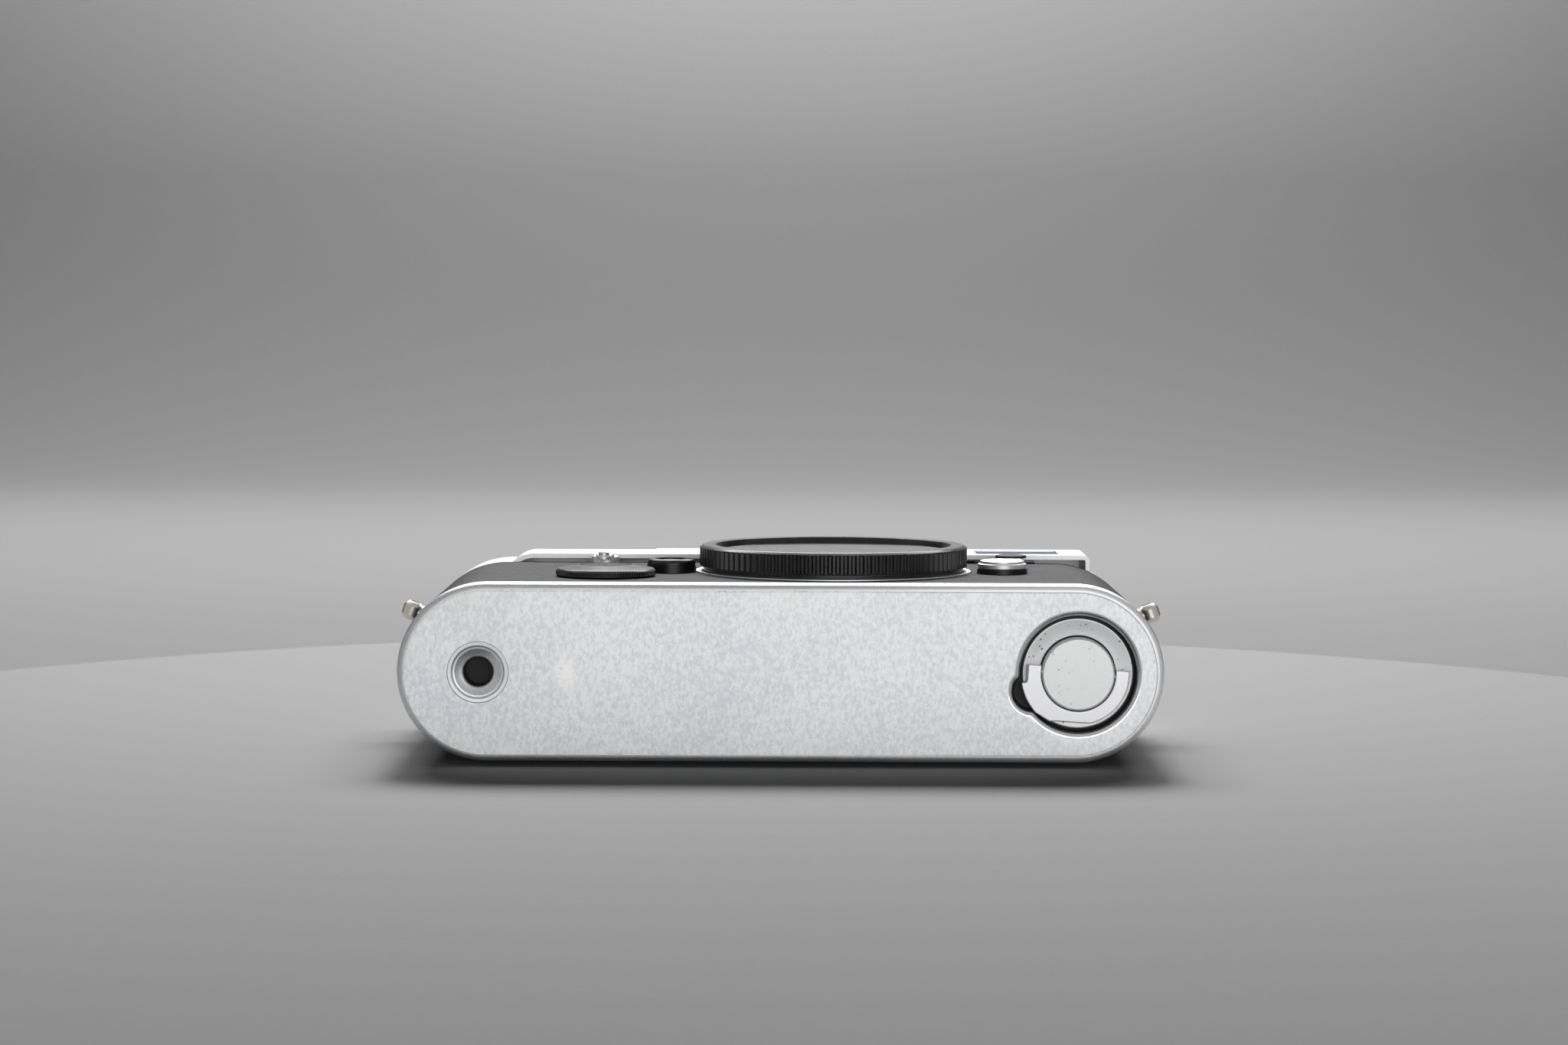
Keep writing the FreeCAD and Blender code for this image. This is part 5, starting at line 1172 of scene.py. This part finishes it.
@dataclass
class Body:
    """The covered casting, its lugs, the film path and the shutter."""

    def build(self, finishes: Finishes) -> None:
        """Dresses the frame's own pieces."""
        finishes.dress("body_covering", finishes.leatherette)
        finishes.dress("strap_lugs", finishes.nickel)
        for node in ("body_shell", "shutter_crate", "film_gate"):
            finishes.dress(node, finishes.casting)
        for node in ("first_curtain", "second_curtain"):
            finishes.dress(node, finishes.cloth)
        for node in ("curtain_drum_first", "curtain_drum_second", "sprocket_shaft", "rewind_fork",
                     "rangefinder_arm",
                     "door_hinge_pin"):
            finishes.dress(node, finishes.steel)
        finishes.dress("take_up_spool", finishes.plastic)


@dataclass
class DialFigures:
    """A ring of raised numbers on a dial's face."""

    name: str
    node: str
    body: str
    facing: Facing
    labels: tuple
    size: float
    ring: float
    lift: float = 0.01
    thickness: float = 0.02

    def build(self, material: bpy.types.Material) -> None:
        """Sets the numbers round the face, with their feet towards the middle."""
        span = high_mm(self.node) - low_mm(self.node)
        outward = self.facing.value @ Vector((0, 0, 1))
        face = middle(self.node) + outward * abs(outward.dot(span)) / 2
        bm = bmesh.new()
        for index, label in enumerate(self.labels):
            text = bpy.data.curves.new(f"{self.name}_{label}", "FONT")
            text.body = label
            text.size = self.size
            text.extrude = self.thickness
            text.align_x = "CENTER"
            text.align_y = "CENTER"
            mesh = bpy.data.meshes.new_from_object(bpy.data.objects.new(text.name, text))
            turn = Matrix.Rotation(-2 * math.pi * index / len(self.labels), 4, "Z")
            mesh.transform(turn @ Matrix.Translation((0, self.ring, self.lift)))
            bm.from_mesh(mesh)
        stand(bm, self.facing, face)
        finish_mesh(self.name, bm, material, self.body, weighted=False)


@dataclass
class TopPlate:
    """The top plate with its windows, eyepiece, shoe and controls."""

    stem: float = 1.5
    dial_ridges: int = 60
    dial_cut: float = 0.3

    def build(self, finishes: Finishes) -> None:
        """Dresses the frame's own pieces."""
        for node in ("top_plate", "accessory_shoe", "release_collar", "rewind_knob", "eyepiece_ring"):
            finishes.dress(node, finishes.chrome)
        for node in ("release_button", "advance_lever", "rewind_crank"):
            finishes.dress(node, finishes.bright)
        for node in ("shoe_screws", "shoe_contact", "advance_tip_pin"):
            finishes.dress(node, finishes.steel)
        for node in ("viewfinder_window", "rangefinder_window", "eyepiece_lens", "finder_block",
                     "counter_window"):
            finishes.dress(node, finishes.glass)
        finishes.dress("illumination_window", finishes.frosted)
        finishes.dress("advance_tip", finishes.plastic)
        finishes.dress("counter_disc", finishes.enamel)
        self.build_speed_dial(finishes)
        speeds = ("1", "2", "4", "8", "15", "30", "60", "125", "250", "500", "1000")
        DialFigures("speed_numbers", "shutter_speed_dial", "speed_dial", Facing.TOP, speeds, 1.55, 5.2).build(
            finishes.black_figures)
        frames = ("0", "5", "10", "15", "20", "25", "30", "35")
        DialFigures("counter_numbers", "counter_disc", "counter", Facing.TOP, frames, 1.3, 3.6).build(
            finishes.figures)


    def build_speed_dial(self, finishes: Finishes) -> None:
        """Makes the knurled shutter speed dial on its stem."""
        low, high = low_mm("shutter_speed_dial"), high_mm("shutter_speed_dial")
        centre = middle("shutter_speed_dial")
        radius = (high.x - low.x) / 2
        profile = [(0, 0), (radius - 0.6, 0), (radius, -0.6), (radius, -0.7), (radius, -3.6), (radius, -3.7),
                   (radius - 0.4, -4.05), (self.stem, -4.05), (self.stem, low.y - high.y),
                   (0, low.y - high.y)]
        cut = Knurling(self.dial_ridges, (-3.65, -0.65), radius, self.dial_cut)
        Turned("speed_dial_knurled", profile, Facing.TOP, (centre.x, high.y, centre.z), finishes.chrome,
               "speed_dial",
               sharp=30.0, knurling=cut).build("shutter_speed_dial")


@dataclass
class BackDoor:
    """The hinged back door with its dial and pressure plate."""

    face_sink: float = 0.06

    def build(self, finishes: Finishes) -> None:
        """Dresses the frame's own pieces."""
        finishes.dress("back_door", finishes.casting)
        finishes.dress("door_covering", finishes.leatherette)
        self.build_film_dial(finishes)
        speeds = ("25", "50", "100", "200", "400", "800", "1600", "3200")
        DialFigures("film_speed_numbers", "film_speed_dial", "film_speed_dial", Facing.BACK, speeds, 1.9, 9.6,
                    -0.05).build(finishes.black_figures)
        finishes.dress("pressure_plate", finishes.enamel)
        finishes.dress("pressure_spring", finishes.steel)


    def build_film_dial(self, finishes: Finishes) -> None:
        """Makes the film speed dial, whose numbered face lies just below its rim."""
        low, high = low_mm("film_speed_dial"), high_mm("film_speed_dial")
        centre = middle("film_speed_dial")
        radius, depth = (high.x - low.x) / 2, high.z - low.z
        sink = -self.face_sink
        profile = [(0, sink), (5.6, sink), (5.8, sink * 3), (6.0, sink), (radius - 1.1, sink),
                   (radius - 0.9, 0),
                   (radius - 0.35, 0), (radius, -0.3), (radius, -depth), (0, -depth)]
        Turned("film_speed_dial_turned", profile, Facing.BACK, (centre.x, centre.y, low.z), finishes.chrome,
               "film_speed_dial", steps=120).build("film_speed_dial")


@dataclass
class Studio:
    """The sweep, the soft lights and the camera."""

    lens: float = 88.6
    sensor: float = 36.0
    distance: float = 690.0
    side: float = 0.5
    rise: float = 51.0
    pitch: float = 3.31
    roll: float = 0.22
    fill_level: float = 0.006
    glossy_level: float = 0.42

    def build(self) -> None:
        """Makes the studio."""
        self.build_sweep()
        self.build_lights()
        self.build_camera()

    def build_sweep(self) -> None:
        """Makes the floor that curves up into a backdrop."""
        bm = bmesh.new()
        verts = [bmesh.ops.create_vert(bm, co=(-4, y, z))["vert"][0] for y,
                 z in ((-4, 0), (2.0, 0), (2.0, 3.6))]
        for pair in zip(verts, verts[1:]):
            bm.edges.new(pair)
        bmesh.ops.bevel(bm, geom=[verts[1]], offset=1.0, segments=24, profile=0.5, affect="VERTICES",
                        material=-1)
        made = bmesh.ops.extrude_edge_only(bm, edges=bm.edges[:])["geom"]
        moved = [item for item in made if isinstance(item, bmesh.types.BMVert)]
        bmesh.ops.translate(bm, vec=(8, 0, 0), verts=moved)
        bmesh.ops.recalc_face_normals(bm, faces=bm.faces[:])
        mesh = bpy.data.meshes.new("sweep")
        bm.to_mesh(mesh)
        bm.free()
        mesh.polygons.foreach_set("use_smooth", [True] * len(mesh.polygons))
        mesh.materials.append(Backdrop().material())
        sweep = bpy.data.objects.new("sweep", mesh)
        bpy.context.scene.collection.objects.link(sweep)

    def area(self, name: str, at: tuple, aim: tuple, size: tuple, power: float,
             spread: float = 180.0) -> None:
        """Adds one soft light.

        Args:
            name: Its name.
            at: Where it stands, in metres.
            aim: The point that it faces.
            size: Its width and height.
            power: Its power in watts.
            spread: The angle of its beam in degrees.
        """
        light = bpy.data.lights.new(name, "AREA")
        light.spread = math.radians(spread)
        light.shape = "RECTANGLE"
        light.size, light.size_y = size
        light.energy = power
        lamp = bpy.data.objects.new(name, light)
        lamp.location = at
        lamp.visible_camera = False
        lamp.rotation_euler = (Vector(aim) - Vector(at)).to_track_quat("-Z", "Y").to_euler()
        bpy.context.scene.collection.objects.link(lamp)

    def build_lights(self) -> None:
        """Adds the overhead softbox, the fill behind the camera and the even surroundings."""
        self.area("overhead", (0.0, 0.80, 0.85), (0, 0.0, 0), (1.1, 0.36), 11.2)
        self.area("key_spot", (0.0, 0.80, 0.85), (0, 0.0, 0), (0.3, 0.36), 0.6, 46.0)
        self.area("front_card", (0.16, -1.2, 0.12), (0, 0, 0.017), (0.9, 0.18), 2.3)
        self.area("wall_wash", (0.0, 1.0, 1.6), (0, 2.0, 0.5), (0.8, 0.5), 4.6, 90.0)
        self.area("wall_spot", (0.0, 1.0, 1.6), (0, 2.0, 0.6), (0.3, 0.3), 1.5, 56.0)
        world = bpy.data.worlds.new("surroundings")
        world.use_nodes = True
        tree = world.node_tree
        rays = tree.nodes.new("ShaderNodeLightPath")
        level = tree.nodes.new("ShaderNodeMath")
        level.operation = "MULTIPLY_ADD"
        level.inputs[1].default_value = self.glossy_level - self.fill_level
        level.inputs[2].default_value = self.fill_level
        tree.links.new(rays.outputs["Is Glossy Ray"], level.inputs[0])
        tree.links.new(level.outputs[0], tree.nodes["Background"].inputs["Strength"])
        tree.nodes["Background"].inputs["Color"].default_value = (1, 1, 1, 1)
        bpy.context.scene.world = world
        bpy.context.scene.view_settings.view_transform = "Standard"

    def build_camera(self) -> None:
        """Puts the camera in front of the base plate, a little above the body."""
        camera = bpy.data.cameras.new("camera")
        camera.sensor_width = self.sensor
        camera.lens = self.lens
        camera.clip_start = 0.05
        camera.clip_end = 20
        eye = bpy.data.objects.new("camera", camera)
        front = high_mm("body_covering").z
        place = Vector((self.side, low_mm("base_plate").y - self.distance, front + self.rise)) * MM
        turn = Matrix.Rotation(math.radians(90 - self.pitch), 4,
                               "X") @ Matrix.Rotation(math.radians(self.roll), 4, "Z")
        eye.matrix_world = Matrix.Translation(place) @ turn
        bpy.context.scene.collection.objects.link(eye)
        bpy.context.scene.camera = eye


@dataclass
class RangefinderCamera:
    """The whole camera, in the order in which its parts are made."""

    parts: list = field(
        default_factory=lambda: [
            BasePlate(), BaseLock(), Body(), MountAndCap(), BatteryWell(), FrontControls(), TopPlate(),
            BackDoor()
        ]
    )

    def build(self, finishes: Finishes) -> None:
        """Builds every part."""
        for part in self.parts:
            part.build(finishes)
            LOG.info("%s done", type(part).__name__)


def main() -> None:
    """Builds the camera and the studio and reports each piece."""
    logging.basicConfig(level=logging.INFO, format="%(message)s")
    finishes = Finishes()
    RangefinderCamera().build(finishes)
    Studio().build()


if __name__ == "__main__":
    main()
